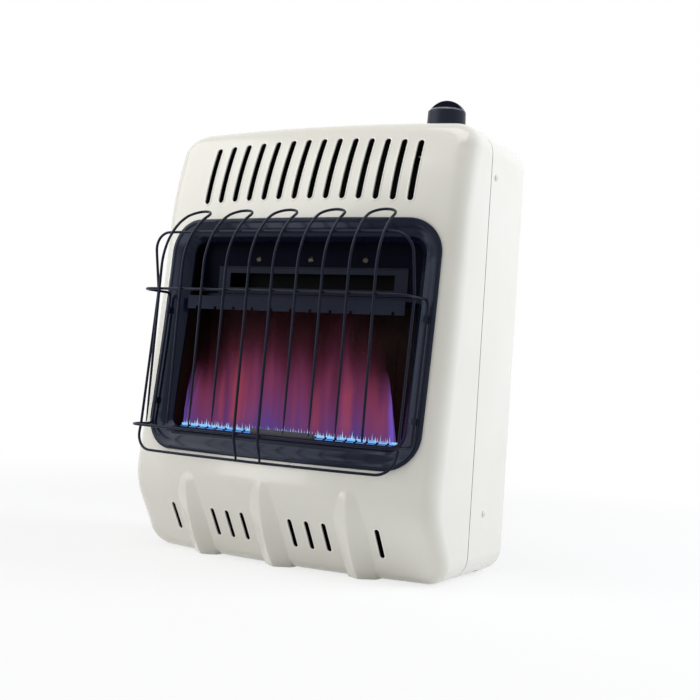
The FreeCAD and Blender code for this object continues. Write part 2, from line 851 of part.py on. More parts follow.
def lead_y():
    """Where the pilot tube and the two leads pass through the firebox floor."""
    return firebox_back_y - 6


def hood():
    """Upright panel with the warm-air outlet, and a top that leans back to the firebox's back wall."""
    a = firebox_half - gap
    panel = box(-a, a, hood_y, hood_y + panel_wall, hood_low_z, firebox_top_z)
    opening = box(-outlet_half, outlet_half, hood_y - 1, hood_y + 3, outlet_low_z, outlet_high_z)
    roof_end = firebox_back_y - gap - panel_wall - gap
    roof = box(-a, a, hood_y, roof_end, firebox_top_z - panel_wall, firebox_top_z)
    body = panel.cut(opening).fuse(roof)
    for x in (-hood_screw_x, 0, hood_screw_x):
        body = body.cut(bar(screw_r + gap, V(x, hood_y - 2, hood_screw_z), V(x, hood_y + 4, hood_screw_z)))
    return body.removeSplitter()


def hood_frame():
    """Raised frame round the outlet."""
    a = outlet_half + outlet_frame
    low = outlet_low_z - outlet_border
    high = outlet_high_z + outlet_border
    plate = box(-a, a, hood_y - gap - panel_wall, hood_y - gap, low, high)
    plate = plate.cut(box(-outlet_half, outlet_half, hood_y - 5, hood_y + 5, outlet_low_z, outlet_high_z))
    rim = box(-a, a, hood_y - gap - 3, hood_y - gap, high, high + panel_wall)
    return plate.fuse(rim).removeSplitter()


def hood_lip():
    """Deflector under the hood: a shelf that comes forward and turns down, notched along its edge."""
    a = lip_half
    shelf_z = hood_low_z + lip_rise
    back = box(-a, a, hood_y - gap - panel_wall, hood_y - gap, shelf_z, shelf_z + 8)
    shelf = box(-a, a, lip_y, hood_y - gap, shelf_z, shelf_z + panel_wall)
    flange = box(-a, a, lip_y, lip_y + panel_wall, shelf_z - lip_flange, shelf_z)
    lip = back.fuse(shelf).fuse(flange)
    notches = int(lip_half / lip_notch_pitch)
    low = shelf_z - lip_flange
    for i in range(-notches, notches + 1):
        x0 = i * lip_notch_pitch - lip_notch_width / 2
        lip = lip.cut(box(x0, x0 + lip_notch_width, lip_y - 1, lip_y + 2, low - 1, low + lip_notch))
    return lip.removeSplitter()


def hood_screws():
    screws = []
    for x in (-hood_screw_x, 0, hood_screw_x):
        screws.append(screw(V(x, hood_y - gap, hood_screw_z), V(0, -1, 0), 8))
    return Part.makeCompound(screws)


def screw(seat, out, length):
    """Pan-head screw: the head's seat, the way it points out, and the length of its shank."""
    head = bar(screw_head_r, seat, seat + out * screw_step)
    crown = bar(screw_crown_r, seat, seat + out * screw_head)
    shank = bar(screw_r, seat - out * length, seat + out * screw_step)
    return head.fuse([crown, shank]).removeSplitter()


def side_screw_group():
    screws = []
    for side in (-1, 1):
        for y, z in side_screws:
            screws.append(screw(V(side * (half + gap), y, z), V(side, 0, 0), 9))
    return Part.makeCompound(screws)


# Burner
def burner_low():
    return burner_top_z - burner_height


def burner_tube():
    """Folded steel burner with a rounded section, open inside, with a row of ports along its top."""
    back = burner_front_y + burner_depth
    low = burner_low()
    block = box(-burner_half, burner_half, burner_front_y, back, low, burner_top_z)
    long_edges = [e for e in block.Edges if abs(e.tangentAt(e.FirstParameter).x) > 0.99]
    block = block.makeFillet(burner_fold_r, long_edges)
    w = panel_wall
    hollow = box(-burner_half + w, burner_half - w, burner_front_y + w, back - w, low + w, burner_top_z - w)
    long_edges = [e for e in hollow.Edges if abs(e.tangentAt(e.FirstParameter).x) > 0.99]
    hollow = hollow.makeFillet(burner_fold_r - w, long_edges)
    tube = block.cut(hollow)
    mix_y = burner_front_y + burner_depth / 2
    mix_z = burner_top_z - burner_height / 2
    mouth_from = V(burner_half - 5, mix_y, mix_z)
    mouth = bar(mixer_r - 3.5, mouth_from, mouth_from + V(10, 0, 0), mixer_sides)
    return tube.cut(mouth).fuse(mixer_tube()).removeSplitter()


def port_plate():
    """Port strip on top of the burner, with a row of cut ports on each side of the middle."""
    y0 = burner_front_y + 6
    y1 = burner_front_y + burner_depth - 6
    z = burner_top_z + gap
    strip = box(-burner_half + 4, burner_half - 4, y0, y1, z, z + 1)
    steps = int((burner_half - centre_plate_half - 10) / port_pitch)
    for side in (-1, 1):
        for i in range(steps):
            x = side * (centre_plate_half + 8 + i * port_pitch)
            port = box(x - port_length / 2, x + port_length / 2, y0 + 3, y0 + 3 + port_width, z - 1, z + 2)
            strip = strip.cut(port)
    return strip


def centre_plate():
    """Shield in front of the middle of the burner, where the pilot lights it."""
    y = burner_front_y - gap
    plate = box(-centre_plate_half, centre_plate_half, y - 1, y, burner_low() + 2, burner_top_z + 8)
    fold = box(-centre_plate_half, centre_plate_half, y - 1, y + 8, burner_top_z + 8, burner_top_z + 9)
    return plate.fuse(fold).removeSplitter()


def burner_bracket(side):
    """Angle that carries one end of the burner on the firebox side."""
    x = side * (burner_half + gap)
    wall_x = side * (firebox_half - gap)
    x0, x1 = sorted((x, wall_x))
    y0 = burner_front_y + 2
    y1 = burner_front_y + burner_depth - 2
    seat = box(x0, x1, y0, y1, burner_low() - 2, burner_low() - 1)
    f0, f1 = sorted((wall_x, wall_x - side))
    flange = box(f0, f1, y0, y1, burner_low() - 2, burner_top_z)
    t0, t1 = sorted((x + side * 1, x - side * 20))
    tongue = box(t0, t1, y0, y1, burner_low() - 2, burner_low() - 1)
    if side > 0:
        mix_y = burner_front_y + burner_depth / 2
        mix_z = burner_top_z - burner_height / 2
        flange = flange.cut(bar(mixer_r + gap, V(0, mix_y, mix_z), V(half, mix_y, mix_z), mixer_sides))
    return seat.fuse(flange).fuse(tongue).removeSplitter()


def mixer_axis():
    return burner_front_y + burner_depth / 2, burner_top_z - burner_height / 2


def mixer_tube():
    """Venturi that brings gas and air through the firebox side into the burner's end."""
    y, z = mixer_axis()
    r = mixer_r - 2.5
    start = V(burner_half - 1, y, z)
    end = V(firebox_half + mixer_reach, y, z)
    tube = bar(r, start, end, mixer_sides).cut(bar(r - 1, start, end, mixer_sides))
    for hole in air_windows():
        tube = tube.cut(hole)
    bell = flare(r, r + 4, end, 6).cut(flare(r - 1, r + 3, end, 6))
    return tube.fuse(bell).removeSplitter()


def flare(r, wide_r, at, length):
    """Many-sided cone along X."""
    rings = []
    for x, size in ((0, r), (length, wide_r)):
        points = []
        for i in range(mixer_sides):
            turn = 2 * math.pi * i / mixer_sides
            points.append(at + V(x, -size * math.sin(turn), size * math.cos(turn)))
        rings.append(Part.makePolygon(points + points[:1]))
    return Part.makeLoft(rings, True, True)


def air_windows():
    """Air holes through the sides of the venturi and its shutter."""
    y, z = mixer_axis()
    x = firebox_half + panel_wall + gap + 2
    return [box(x, x + 5, y - 3, y + 3, z - mixer_r - 5, z + mixer_r + 5)]


def air_shutter():
    """Turned ring with air windows round the venturi."""
    y, z = mixer_axis()
    r = mixer_r - 2.5
    x = firebox_half + panel_wall + gap
    low = V(x, y, z)
    collar = bar(r + 1.5, low, low + X * 9, mixer_sides).cut(bar(r + 2 * gap, low, low + X * 9, mixer_sides))
    for hole in air_windows():
        collar = collar.cut(hole)
    return collar


def injector():
    """Brass injector that points into the venturi."""
    y, z = mixer_axis()
    x = firebox_half + mixer_reach + injector_gap
    body = rod(4, V(x - 8, y, z), V(x + 3, y, z))
    nose = Part.makeCone(2, 4, 4, V(x - 12, y, z), X)
    jet = rod(0.6, V(x - 13, y, z), V(x + 4, y, z))
    return body.fuse(nose).cut(jet).removeSplitter()


def injector_holder():
    """Angle on the firebox side that holds the injector in line with the venturi."""
    y, z = mixer_axis()
    x = firebox_half + mixer_reach + injector_gap
    plate = box(x - 2, x, y - 12, y + 15, z - 14, z + 14).cut(rod(4 + gap, V(x - 5, y, z), V(x + 5, y, z)))
    inner = firebox_half + panel_wall + gap
    arm = box(inner, x, y + 14, y + 15.5, z - 14, z + 14)
    foot = box(inner, inner + 1.5, y + 14, y + 40, z - 14, z + 14)
    return plate.fuse(arm).fuse(foot).removeSplitter()


# Pilot group in front of the burner's middle
def pilot_y():
    """Front of the pilot's bracket, behind the burner."""
    return burner_front_y + burner_depth + 14


def pilot_bracket():
    y = pilot_y()
    z = firebox_floor_z + 2
    foot = box(-26, 26, y, y + 12, z, z + 1.2)
    wall = box(-26, 26, y, y + 1.2, z, burner_top_z + 6)
    for x in (-pilot_pitch, 0, pilot_pitch):
        wall = wall.cut(bar(pilot_r + gap, V(x, y - 2, burner_top_z - 6), V(x, y + 4, burner_top_z - 6)))
    return foot.fuse(wall).removeSplitter()


def pilot_pieces():
    """Pilot burner, thermocouple and spark electrode through the bracket, pointing at the ports."""
    y = pilot_y()
    z = burner_top_z - 6
    pieces = {}
    rods = (
        ("pilot_burner", 0, pilot_r),
        ("thermocouple", -pilot_pitch, 2.2),
        ("spark_electrode", pilot_pitch, 1.8),
    )
    for name, x, r in rods:
        tail = V(x, y + 16, z)
        knee = V(x, y - 7, z)
        tip = V(x * 0.7, y - 11, burner_top_z + 14)
        stub = pipe(bent_path([tail, knee, tip], 5.0), r, screw_sides)
        nut = bar(4.6, V(x, y + 1.2 + gap, z), V(x, y + 6, z))
        pieces[name] = stub.fuse(nut).removeSplitter()
    return pieces


# Control at the top right
def valve_bracket():
    """Shelf with a turned-down flange on the right wall of the housing; it carries the valve."""
    z = valve_bracket_z
    inner = tab_inner()
    wall_x = half - housing_wall - gap
    back = -30.0
    front = side_screws[0][0] + tab_reach + 6
    shelf = box(knob_x - 26, inner, knob_y - 24, back, z, z + 1.5)
    shelf = shelf.cut(rod(collar_r + 2, V(knob_x, knob_y, z - 1), V(knob_x, knob_y, z + 3)))
    flange = box(inner - 1.5, wall_x, front, back, z - 45, z - 12)
    web = box(inner - 1.5, inner, front, back, z - 45, z)
    return shelf.fuse(web).fuse(flange).removeSplitter()


def tab_inner():
    """Inside face of the cover's fixing tabs."""
    return half - housing_wall - cover_wall - 3 * gap


def valve_body():
    z = valve_top_z
    top = V(knob_x, knob_y, z)
    body = rod(valve_r, top - Z * valve_height, top)
    neck = rod(collar_r + 2 - gap, top, top + Z * 4)
    block = box(knob_x - 14, knob_x + 14, knob_y, knob_y + 30, z - valve_height, z - 14)
    low = z - valve_height
    ports = [(8, 20, 6, 10), (-8, 20, 6, 10), (0, 0, 4, 8), (-11, -2, 3, 5), (11, -2, 3, 5)]
    stubs = []
    for dx, dy, r, drop in ports:
        stubs.append(bar(r, V(knob_x + dx, knob_y + dy, low - drop), V(knob_x + dx, knob_y + dy, low + 1)))
    well = rod(collar_r + gap, top - Z * 10, top + Z * 5)
    deep = rod(stem_r + gap, top - Z * 22, top)
    return body.fuse([neck, block] + stubs).cut(well).cut(deep).removeSplitter()


def push_collar():
    """Sliding collar round the stem, guided in the valve's neck."""
    z = valve_top_z
    low = V(knob_x, knob_y, z - 10 + knob_travel + gap)
    high = V(knob_x, knob_y, z + 14)
    return ring(collar_r, stem_r + gap, low, high)


def valve_stem():
    z = valve_top_z
    low = V(knob_x, knob_y, z - 22 + knob_travel + gap)
    stem = rod(stem_r, low, V(knob_x, knob_y, knob_base_z + knob_skirt - 3))
    flat_y = knob_y + stem_r - 1.2
    flat = box(knob_x - 6, knob_x + 6, flat_y, knob_y + 6, knob_base_z - 4, knob_base_z + knob_skirt)
    shoulder = ring(collar_r, stem_r - 0.5, V(knob_x, knob_y, z + 14 + gap), V(knob_x, knob_y, z + 17))
    return stem.cut(flat).fuse(shoulder).removeSplitter()


def control_knob():
    """Turned skirt with a chamfered shoulder and a domed grip bar across it."""
    axis = V(knob_x, knob_y, knob_base_z)
    skirt = knob_skirt
    profile = [
        V(0, 0, 0), V(knob_r, 0, 0), V(knob_r - 0.8, 0, skirt - 2.5), V(knob_r - 3, 0, skirt),
        V(knob_r - 8, 0, skirt + 1), V(0, 0, skirt + 1), V(0, 0, 0),
    ]
    body = Part.Face(Part.makePolygon(profile)).revolve(V(0, 0, 0), Z, 360)
    hollow = Part.makeCylinder(knob_r - 2.4, skirt - 3.5, V(0, 0, -0.1), Z)
    hub = Part.makeCylinder(stem_r + 3, skirt - 3, V(0, 0, 0.6), Z)
    body = body.cut(hollow).fuse(hub)
    radius = ((knob_r - 2) ** 2 + knob_dome ** 2) / (2 * knob_dome)
    ball = Part.makeSphere(radius, V(0, 0, skirt + knob_dome - radius))
    grip = ball.common(box(-knob_r, knob_r, -6, 6, skirt - 2, skirt + knob_dome + 1))
    body = body.fuse(grip)
    bore = Part.makeCylinder(stem_r + 0.15, skirt - 2.5, V(0, 0, 0), Z)
    key = box(-6, 6, stem_r - 1.1, 6, 0, skirt)
    bore = bore.cut(key)
    body = body.cut(bore)
    body.translate(axis)
    return body.removeSplitter()


# Gas train
def inlet_fitting():
    low = V(gas_x, gas_y, inlet_low_z)
    top = V(gas_x, gas_y, inlet_low_z + 24)
    body = hex_bar(inlet_hex, low, top)
    thread = rod(inlet_thread_r, low, low + Z * inlet_thread_length)
    bore = rod(4, low, top + Z)
    return body.cut(thread).cut(bore)


def regulator():
    """Round two-part regulator with a pinched rim and a spring cap, on the inlet."""
    mid = V(gas_x, gas_y, regulator_z)
    d = regulator_depth / 2
    profile = [V(0, -d, 0), V(regulator_r * 0.55, -d, 0), V(regulator_r * 0.9, -4, 0), V(regulator_r, -4, 0),
               V(regulator_r, 4, 0), V(regulator_r * 0.9, 4, 0), V(regulator_r * 0.6, d, 0),
               V(0, d, 0), V(0, -d, 0)]
    can = Part.Face(Part.makePolygon(profile)).revolve(V(0, 0, 0), Y, 360)
    can.translate(mid)
    neck = bar(8, V(gas_x, gas_y, inlet_low_z + 24 + gap), mid)
    out = bar(6, mid, V(gas_x, gas_y, regulator_z + regulator_r + 10))
    cap = rod(9, mid - Y * (d - 1), mid - Y * (d + 12))
    return can.fuse([neck, out, cap]).removeSplitter()


def regulator_bracket():
    """Strap from the housing's back to the regulator."""
    y = -back_recess - housing_wall - gap
    z = regulator_z
    x0 = gas_x - 34
    back = box(x0, gas_x + 12, y - 1.5, y, z - 12, z + 12)
    stand = bar(7, V(gas_x, y - 1.5, z), V(gas_x, gas_y + regulator_depth / 2 + gap, z))
    return back.fuse(stand).removeSplitter()


def tube_nut(at, down=True):
    z0, z1 = (at.z - 9, at.z) if down else (at.z, at.z + 9)
    low = V(at.x, at.y, z0)
    high = V(at.x, at.y, z1)
    return hex_bar(12, low, high).cut(bar(tube_r + 2 * gap, low, high))


def gas_points():
    """Ends of the tubes at the valve, the regulator and the injector."""
    low = valve_top_z - valve_height - 10 - gap
    y, z = mixer_axis()
    return {
        "inlet": V(knob_x + 8, knob_y + 20, low),
        "outlet": V(knob_x - 8, knob_y + 20, low),
        "pilot": V(knob_x, knob_y, low + 2),
        "regulator": V(gas_x, gas_y, regulator_z + regulator_r + 10 + gap),
        "injector": V(firebox_half + mixer_reach + injector_gap + 3 + gap, y, z),
    }


def supply_tube():
    ends = gas_points()
    top = ends["inlet"]
    low = ends["regulator"]
    points = [top, V(top.x, top.y, top.z - 16), V(low.x, low.y, firebox_top_z + 4), low]
    return pipe(bent_path(points, 9.0), tube_r)


def burner_feed():
    ends = gas_points()
    top = ends["outlet"]
    jet = ends["injector"]
    lane_x = firebox_half + feed_lane
    points = [top, V(top.x, top.y, top.z - 16), V(lane_x - 2, knob_y - 16, firebox_top_z + 4),
              V(lane_x, jet.y, jet.z + 140), V(lane_x, jet.y, jet.z), jet]
    return pipe(bent_path(points, 7.0), tube_r)


def pilot_feed():
    top = gas_points()["pilot"]
    z = burner_top_z - 6
    return lead(top, 0, firebox_half + 30, -125.0, 116.0, z, pilot_tube_r)


def lead(top, x, lane_x, lane_y, low_z, end_z, r):
    """Thin tube from the valve down the right side, under the firebox and up through its floor."""
    y = lead_y()
    tail = pilot_y() + 16 + gap
    points = [top, V(top.x, top.y, top.z - 16), V(lane_x, lane_y, firebox_top_z + 6),
              V(lane_x, lane_y, low_z), V(x, lane_y, low_z), V(x, y, low_z), V(x, y, end_z), V(x, tail, end_z)]
    return pipe(bent_path(points, 6.0), r)


def thermocouple_lead():
    z = valve_top_z - valve_height - 5 - gap
    top = V(knob_x + 11, knob_y - 2, z)
    lane_x = firebox_half + 32
    return lead(top, -pilot_pitch, lane_x, -112.0, 109.0, burner_top_z - 6, thermo_lead_r)


def spark_lead():
    z = valve_top_z - valve_height - 5 - gap
    top = V(knob_x - 11, knob_y - 2, z)
    return lead(top, pilot_pitch, firebox_half + 30, -134.0, 102.0, burner_top_z - 6, spark_lead_r)


def tube_nuts():
    ends = gas_points()
    nuts = [tube_nut(ends["inlet"] - Z * gap), tube_nut(ends["outlet"] - Z * gap),
            tube_nut(ends["regulator"] + Z * gap, False)]
    return Part.makeCompound(nuts)


def wall_bracket():
    """Strip screwed to the wall, with two hooks that enter the slots of the housing's back."""
    a = bracket_hole_pitch / 2 + 14
    strip = box(-a, a, -bracket_wall, 0, bracket_z - bracket_height + 8, bracket_z + 8)
    for side in (-1, 1):
        x = side * hook_x
        arm = box(x - hook_width / 2, x + hook_width / 2, -back_recess - housing_wall - 4, -bracket_wall,
                  bracket_z - 1.5, bracket_z)
        lip = box(x - hook_width / 2, x + hook_width / 2, -back_recess - housing_wall - 4,
                  -back_recess - housing_wall - 2.5, bracket_z, bracket_z + 10)
        strip = strip.fuse(arm).fuse(lip)
        hole_x = side * bracket_hole_pitch / 2
        hole_z = bracket_z - bracket_height / 2 + 8
        strip = strip.cut(rod(bracket_hole_r, V(hole_x, -5, hole_z), V(hole_x, 5, hole_z)))
    return strip.removeSplitter()


def build():
    nodes = {
        "rear_housing": rear_housing(),
        "front_cover": front_cover(),
        "window_bezel": window_bezel(),
        "guard_hairpins": guard_hairpins(),
        "guard_frame": guard_frame(),
        "guard_loop": guard_loop(),
        "guard_clips": guard_clips(),
        "firebox_back": firebox_back(),
        "firebox_left_side": firebox_side(-1),
        "firebox_right_side": firebox_side(1),
        "firebox_floor": firebox_floor(),
        "hood": hood(),
        "hood_frame": hood_frame(),
        "hood_lip": hood_lip(),
        "hood_screws": hood_screws(),
        "burner": burner_tube(),
        "port_plate": port_plate(),
        "centre_plate": centre_plate(),
        "burner_left_bracket": burner_bracket(-1),
        "burner_right_bracket": burner_bracket(1),
        "air_shutter": air_shutter(),
        "injector": injector(),
        "injector_holder": injector_holder(),
        "pilot_bracket": pilot_bracket(),
        "valve_bracket": valve_bracket(),
        "valve_body": valve_body(),
        "push_collar": push_collar(),
        "valve_stem": valve_stem(),
        "control_knob": control_knob(),
        "inlet_fitting": inlet_fitting(),
        "regulator": regulator(),
        "regulator_bracket": regulator_bracket(),
        "supply_tube": supply_tube(),
        "burner_feed": burner_feed(),
        "pilot_feed": pilot_feed(),
        "thermocouple_lead": thermocouple_lead(),
        "spark_lead": spark_lead(),
        "tube_nuts": tube_nuts(),
        "wall_bracket": wall_bracket(),
        "side_screws": side_screw_group(),
    }
    nodes.update(pilot_pieces())
    return nodes


os.makedirs("parts", exist_ok=True)
for name, shape in build().items():
    print(name, len(shape.Solids), shape.isValid(), round(shape.Volume))
    shape.exportStep("parts/" + name + ".step")
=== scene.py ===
# %% [markdown]
# A ventless wall heater. The solids come from the imported CAD model, which fixes every size. This
# script gives them their finish: enamelled covers, a coated wire guard, a heat-stained firebox and
# the flames themselves. The first cell loads the model and keeps its parts and its record.

# %% load the model
import json
import math

import bpy
from mathutils import Matrix, Vector


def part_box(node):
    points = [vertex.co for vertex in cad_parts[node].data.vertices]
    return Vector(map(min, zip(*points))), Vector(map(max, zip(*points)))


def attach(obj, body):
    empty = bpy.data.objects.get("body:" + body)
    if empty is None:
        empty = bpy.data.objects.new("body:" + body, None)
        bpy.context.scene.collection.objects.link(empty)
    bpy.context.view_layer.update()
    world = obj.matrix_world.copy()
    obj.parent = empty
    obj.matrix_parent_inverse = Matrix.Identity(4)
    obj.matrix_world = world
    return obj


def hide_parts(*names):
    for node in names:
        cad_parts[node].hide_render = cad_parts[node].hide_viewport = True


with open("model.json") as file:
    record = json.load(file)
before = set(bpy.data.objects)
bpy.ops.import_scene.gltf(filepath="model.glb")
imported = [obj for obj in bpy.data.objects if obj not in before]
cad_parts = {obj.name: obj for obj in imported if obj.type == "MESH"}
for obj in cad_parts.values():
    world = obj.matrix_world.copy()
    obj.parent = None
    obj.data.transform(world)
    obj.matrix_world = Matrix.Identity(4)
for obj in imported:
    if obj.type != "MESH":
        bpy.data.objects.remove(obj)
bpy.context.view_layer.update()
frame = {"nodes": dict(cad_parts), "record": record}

nodes = frame["nodes"]
record = frame["record"]
slot_of = {part["node"]: part["material_slot"] for part in record["subparts"]}
bodies = record["behaviour"]["bodies"]
body_of = {name: body for body, names in bodies.items() for name in names}

# %% [markdown]
# Blender's operators act on what is selected, so each step first picks one object, and in edit
# mode most steps want the whole mesh. A modifier is added, set and applied in one go, and a
# finished piece gets its name, its material and the body that it rides on. Every later cell uses
# these helpers.

# %% selection helpers


def pick(obj):
    """Makes one object the only selected and the active one."""
    bpy.ops.object.select_all(action="DESELECT")
    obj.select_set(True)
    bpy.context.view_layer.objects.active = obj
    return obj


def edit_all():
    """Goes to edit mode with the whole mesh of the active object selected."""
    bpy.ops.object.mode_set(mode="EDIT")
    bpy.ops.mesh.select_all(action="SELECT")


def edit_done():
    """Goes back to object mode."""
    bpy.ops.object.mode_set(mode="OBJECT")


def modify(obj, kind, **settings):
    """Gives the active object a modifier and applies it."""
    made = obj.modifiers.new(kind, kind)
    for key, value in settings.items():
        setattr(made, key, value)
    bpy.ops.object.modifier_apply(modifier=made.name)


def settle(obj, name, body, material):
    """Names a finished piece, puts its place into its mesh and lets it ride on a body."""
    pick(obj)
    bpy.ops.object.transform_apply(location=True, rotation=True, scale=True)
    obj.name = name
    obj.data.name = name
    obj.data.materials.clear()
    obj.data.materials.append(material)
    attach(obj, body)
    return obj


print("helpers ready")

# %% [markdown]
# Every material is a small network of nodes. These helpers place a node, connect what feeds it and
# set the rest to constants, so that a material reads like a list of steps: a value is measured,
# stretched to a range and turned into a colour.

# %% node helpers


def feed(tree, made, feeds):
    """Connects inputs of a node to other nodes, or sets them to constants."""
    for key, source in feeds.items():
        if isinstance(source, bpy.types.NodeSocket):
            tree.links.new(source, made.inputs[key])
        else:
            made.inputs[key].default_value = source
    return made


def add_node(tree, kind, feeds, **settings):
    """New shader node with its settings and what feeds it."""
    made = tree.nodes.new("ShaderNode" + kind)
    for key, value in settings.items():
        setattr(made, key, value)
    return feed(tree, made, feeds)


def span(tree, value, low, high, to_low=0.0, to_high=1.0, **settings):
    """Value stretched from one range to another."""
    feeds = {"Value": value, "From Min": low, "From Max": high, "To Min": to_low, "To Max": to_high}
    return add_node(tree, "MapRange", feeds, **settings).outputs["Result"]


def ramp(tree, value, stops):
    """Colour ramp over a value, from pairs of a spot and a colour."""
    made = add_node(tree, "ValToRGB", {"Fac": value})
    marks = made.color_ramp.elements
    marks[0].position, marks[0].color = stops[0][0], (*stops[0][1], 1)
    marks[1].position, marks[1].color = stops[-1][0], (*stops[-1][1], 1)
    for spot, colour in stops[1:-1]:
        marks.new(spot).color = (*colour, 1)
    return made.outputs["Color"]


def new_material(name):
    """Node material with its tree and its Principled shader."""
    made = bpy.data.materials.new(name)
    made.use_nodes = True
    return made, made.node_tree, made.node_tree.nodes["Principled BSDF"]


print("node helpers ready")

# %% [markdown]
# Painted and plated surfaces are never one flat colour. Two things repeat in almost every finish
# here: a fine grain, which breaks up the gloss, and slow clouds, which shift the colour a little
# over a hand's width. Both are built once as a node group and placed in each material with its own
# scale.

# %% shared grain group
grain_group = bpy.data.node_groups.new("surface_grain", "ShaderNodeTree")
face = grain_group.interface
for label, value in (("Grain scale", 900.0), ("Cloud scale", 9.0)):
    socket = face.new_socket(label, in_out="INPUT", socket_type="NodeSocketFloat")
    socket.default_value = value
for label in ("Grain", "Clouds"):
    face.new_socket(label, in_out="OUTPUT", socket_type="NodeSocketFloat")
inlet = grain_group.nodes.new("NodeGroupInput")
outlet = grain_group.nodes.new("NodeGroupOutput")
place = add_node(grain_group, "TexCoord", {}).outputs["Object"]
for scale, detail, result in (("Grain scale", 3.0, "Grain"), ("Cloud scale", 4.0, "Clouds")):
    feeds = {"Vector": place, "Scale": inlet.outputs[scale], "Detail": detail}
    noise = add_node(grain_group, "TexNoise", feeds)
    feed(grain_group, outlet, {result: noise.outputs["Fac"]})
print("group", grain_group.name, "with", len(grain_group.nodes), "nodes")

# %% [markdown]
# A finish is then a Principled shader with two colours that the clouds blend, a roughness that the
# grain moves up and down, and a small bump. The helper below makes one, and the constants that
# don't change over the surface go straight onto the shader's sockets.

# %% finish helper
coat_rough = 0.08
cloud_low, cloud_high = 0.3, 0.7
gloss_swing = 0.08
bump_depth = 0.0004


def finish(name, dark, light, rough, grain_scale, bump, metallic=0.0, coat=0.0, cloud_scale=9.0,
           specular=0.5, tint=(1, 1, 1)):
    """Material with cloudy colour, grainy gloss and a fine bump."""
    made, tree, shader = new_material(name)
    scales = {"Grain scale": grain_scale, "Cloud scale": cloud_scale}
    surface = add_node(tree, "Group", scales, node_tree=grain_group).outputs
    grain = surface["Grain"]
    relief = add_node(tree, "Bump", {"Height": grain, "Strength": bump, "Distance": bump_depth})
    feed(tree, shader, {
        "Metallic": metallic,
        "Coat Weight": coat,
        "Coat Roughness": coat_rough,
        "Specular IOR Level": specular,
        "Specular Tint": (*tint, 1),
        "Base Color": ramp(tree, surface["Clouds"], ((cloud_low, dark), (cloud_high, light))),
        "Roughness": span(tree, grain, 0.0, 1.0, rough - gloss_swing, rough + gloss_swing),
        "Normal": relief.outputs["Normal"],
    })
    return made


print("gloss swings by", gloss_swing, "and bumps are", bump_depth, "m deep")

# %% list of finishes
navy = (0.72, 0.80, 1.0)
finish_rows = (
    ("enamel_cream", (0.74, 0.725, 0.65), (0.775, 0.76, 0.69), 0.22, 420, 0.03, dict(coat=0.3)),
    # paler cream of the slot beads, a painted highlight
    ("edge_cream", (0.86, 0.85, 0.80), (0.90, 0.89, 0.84), 0.2, 420, 0.03, dict(coat=0.4)),
    ("enamel_black", (0.003, 0.005, 0.014), (0.006, 0.009, 0.022), 0.16, 700, 0.04,
     dict(specular=0.22, tint=navy)),
    ("hood_black", (0.002, 0.0022, 0.006), (0.004, 0.0046, 0.011), 0.4, 600, 0.10,
     dict(specular=0.02, tint=navy)),
    ("guard_wire", (0.003, 0.004, 0.012), (0.006, 0.008, 0.020), 0.3, 1200, 0.08,
     dict(specular=0.18, tint=navy)),
    ("zinc_steel", (0.42, 0.43, 0.45), (0.62, 0.63, 0.65), 0.36, 300, 0.10,
     dict(metallic=1.0, cloud_scale=60)),
    ("frame_slate", (0.007, 0.009, 0.018), (0.012, 0.015, 0.028), 0.34, 600, 0.08,
     dict(specular=0.09, tint=navy)),
    # the plate in front of the burner: a lighter grey than its black enamel, painted light
    ("plate_slate", (0.035, 0.036, 0.045), (0.055, 0.056, 0.068), 0.42, 500, 0.15, {}),
    ("screw_black", (0.03, 0.027, 0.025), (0.10, 0.09, 0.075), 0.32, 900, 0.10,
     dict(metallic=1.0, cloud_scale=300)),
    ("brass", (0.60, 0.42, 0.16), (0.75, 0.55, 0.24), 0.3, 800, 0.08,
     dict(metallic=1.0, cloud_scale=30)),
    ("cast_aluminium", (0.48, 0.49, 0.50), (0.62, 0.63, 0.64), 0.45, 900, 0.25,
     dict(metallic=1.0)),
    ("knob_plastic", (0.005, 0.006, 0.013), (0.010, 0.012, 0.022), 0.36, 1500, 0.15,
     dict(specular=0.22, tint=navy)),
    # the knob's shoulder, a lighter grey as a painted highlight, then its grip, darker as painted
    # shade
    ("knob_edge", (0.05, 0.052, 0.075), (0.08, 0.083, 0.11), 0.2, 1500, 0.05, dict(specular=0.8)),
    ("knob_grip", (0.002, 0.002, 0.006), (0.004, 0.004, 0.011), 0.4, 1500, 0.15,
     dict(specular=0.05, tint=navy)),
    ("ceramic", (0.70, 0.67, 0.60), (0.80, 0.78, 0.72), 0.35, 600, 0.05, {}),
    # near black for the inside of the casing, painted shade
    ("inner_primer", (0.016, 0.016, 0.017), (0.03, 0.03, 0.03), 0.6, 500, 0.15,
     dict(specular=0.1)),
    ("lead_rubber", (0.20, 0.02, 0.02), (0.32, 0.04, 0.035), 0.55, 1400, 0.1, {}),
)
finishes = {}
for name, dark, light, rough, grain_scale, bump, more in finish_rows:
    finishes[name] = finish(name, dark, light, rough, grain_scale, bump, **more)
print("finishes:", ", ".join(sorted(finishes)))

# %% [markdown]
# The inside of the firebox is bare steel that has been hot many times: dark brown, redder near the
# burner, with streaks that run upwards, and black with soot under the hood. Height above the floor
# drives the stain and the soot, and stretched noise makes the streaks.

# %% helpers for stains
mix_share, mix_below, mix_above, mix_result = 0, 6, 7, 2


def sums(tree, kind, *sources, **settings):
    """Result of a Math node."""
    made = add_node(tree, "Math", dict(enumerate(sources)), operation=kind, **settings)
    return made.outputs["Value"]


def mix(tree, share, below, colour):
    """Plain colour laid over another one by a share."""
    feeds = {mix_share: share, mix_below: below, mix_above: (*colour, 1)}
    return add_node(tree, "Mix", feeds, data_type="RGBA").outputs[mix_result]


def object_place(tree):
    """Object coordinates, whole and split into X, Y and Z."""
    place = add_node(tree, "TexCoord", {}).outputs["Object"]
    return place, add_node(tree, "SeparateXYZ", {"Vector": place}).outputs


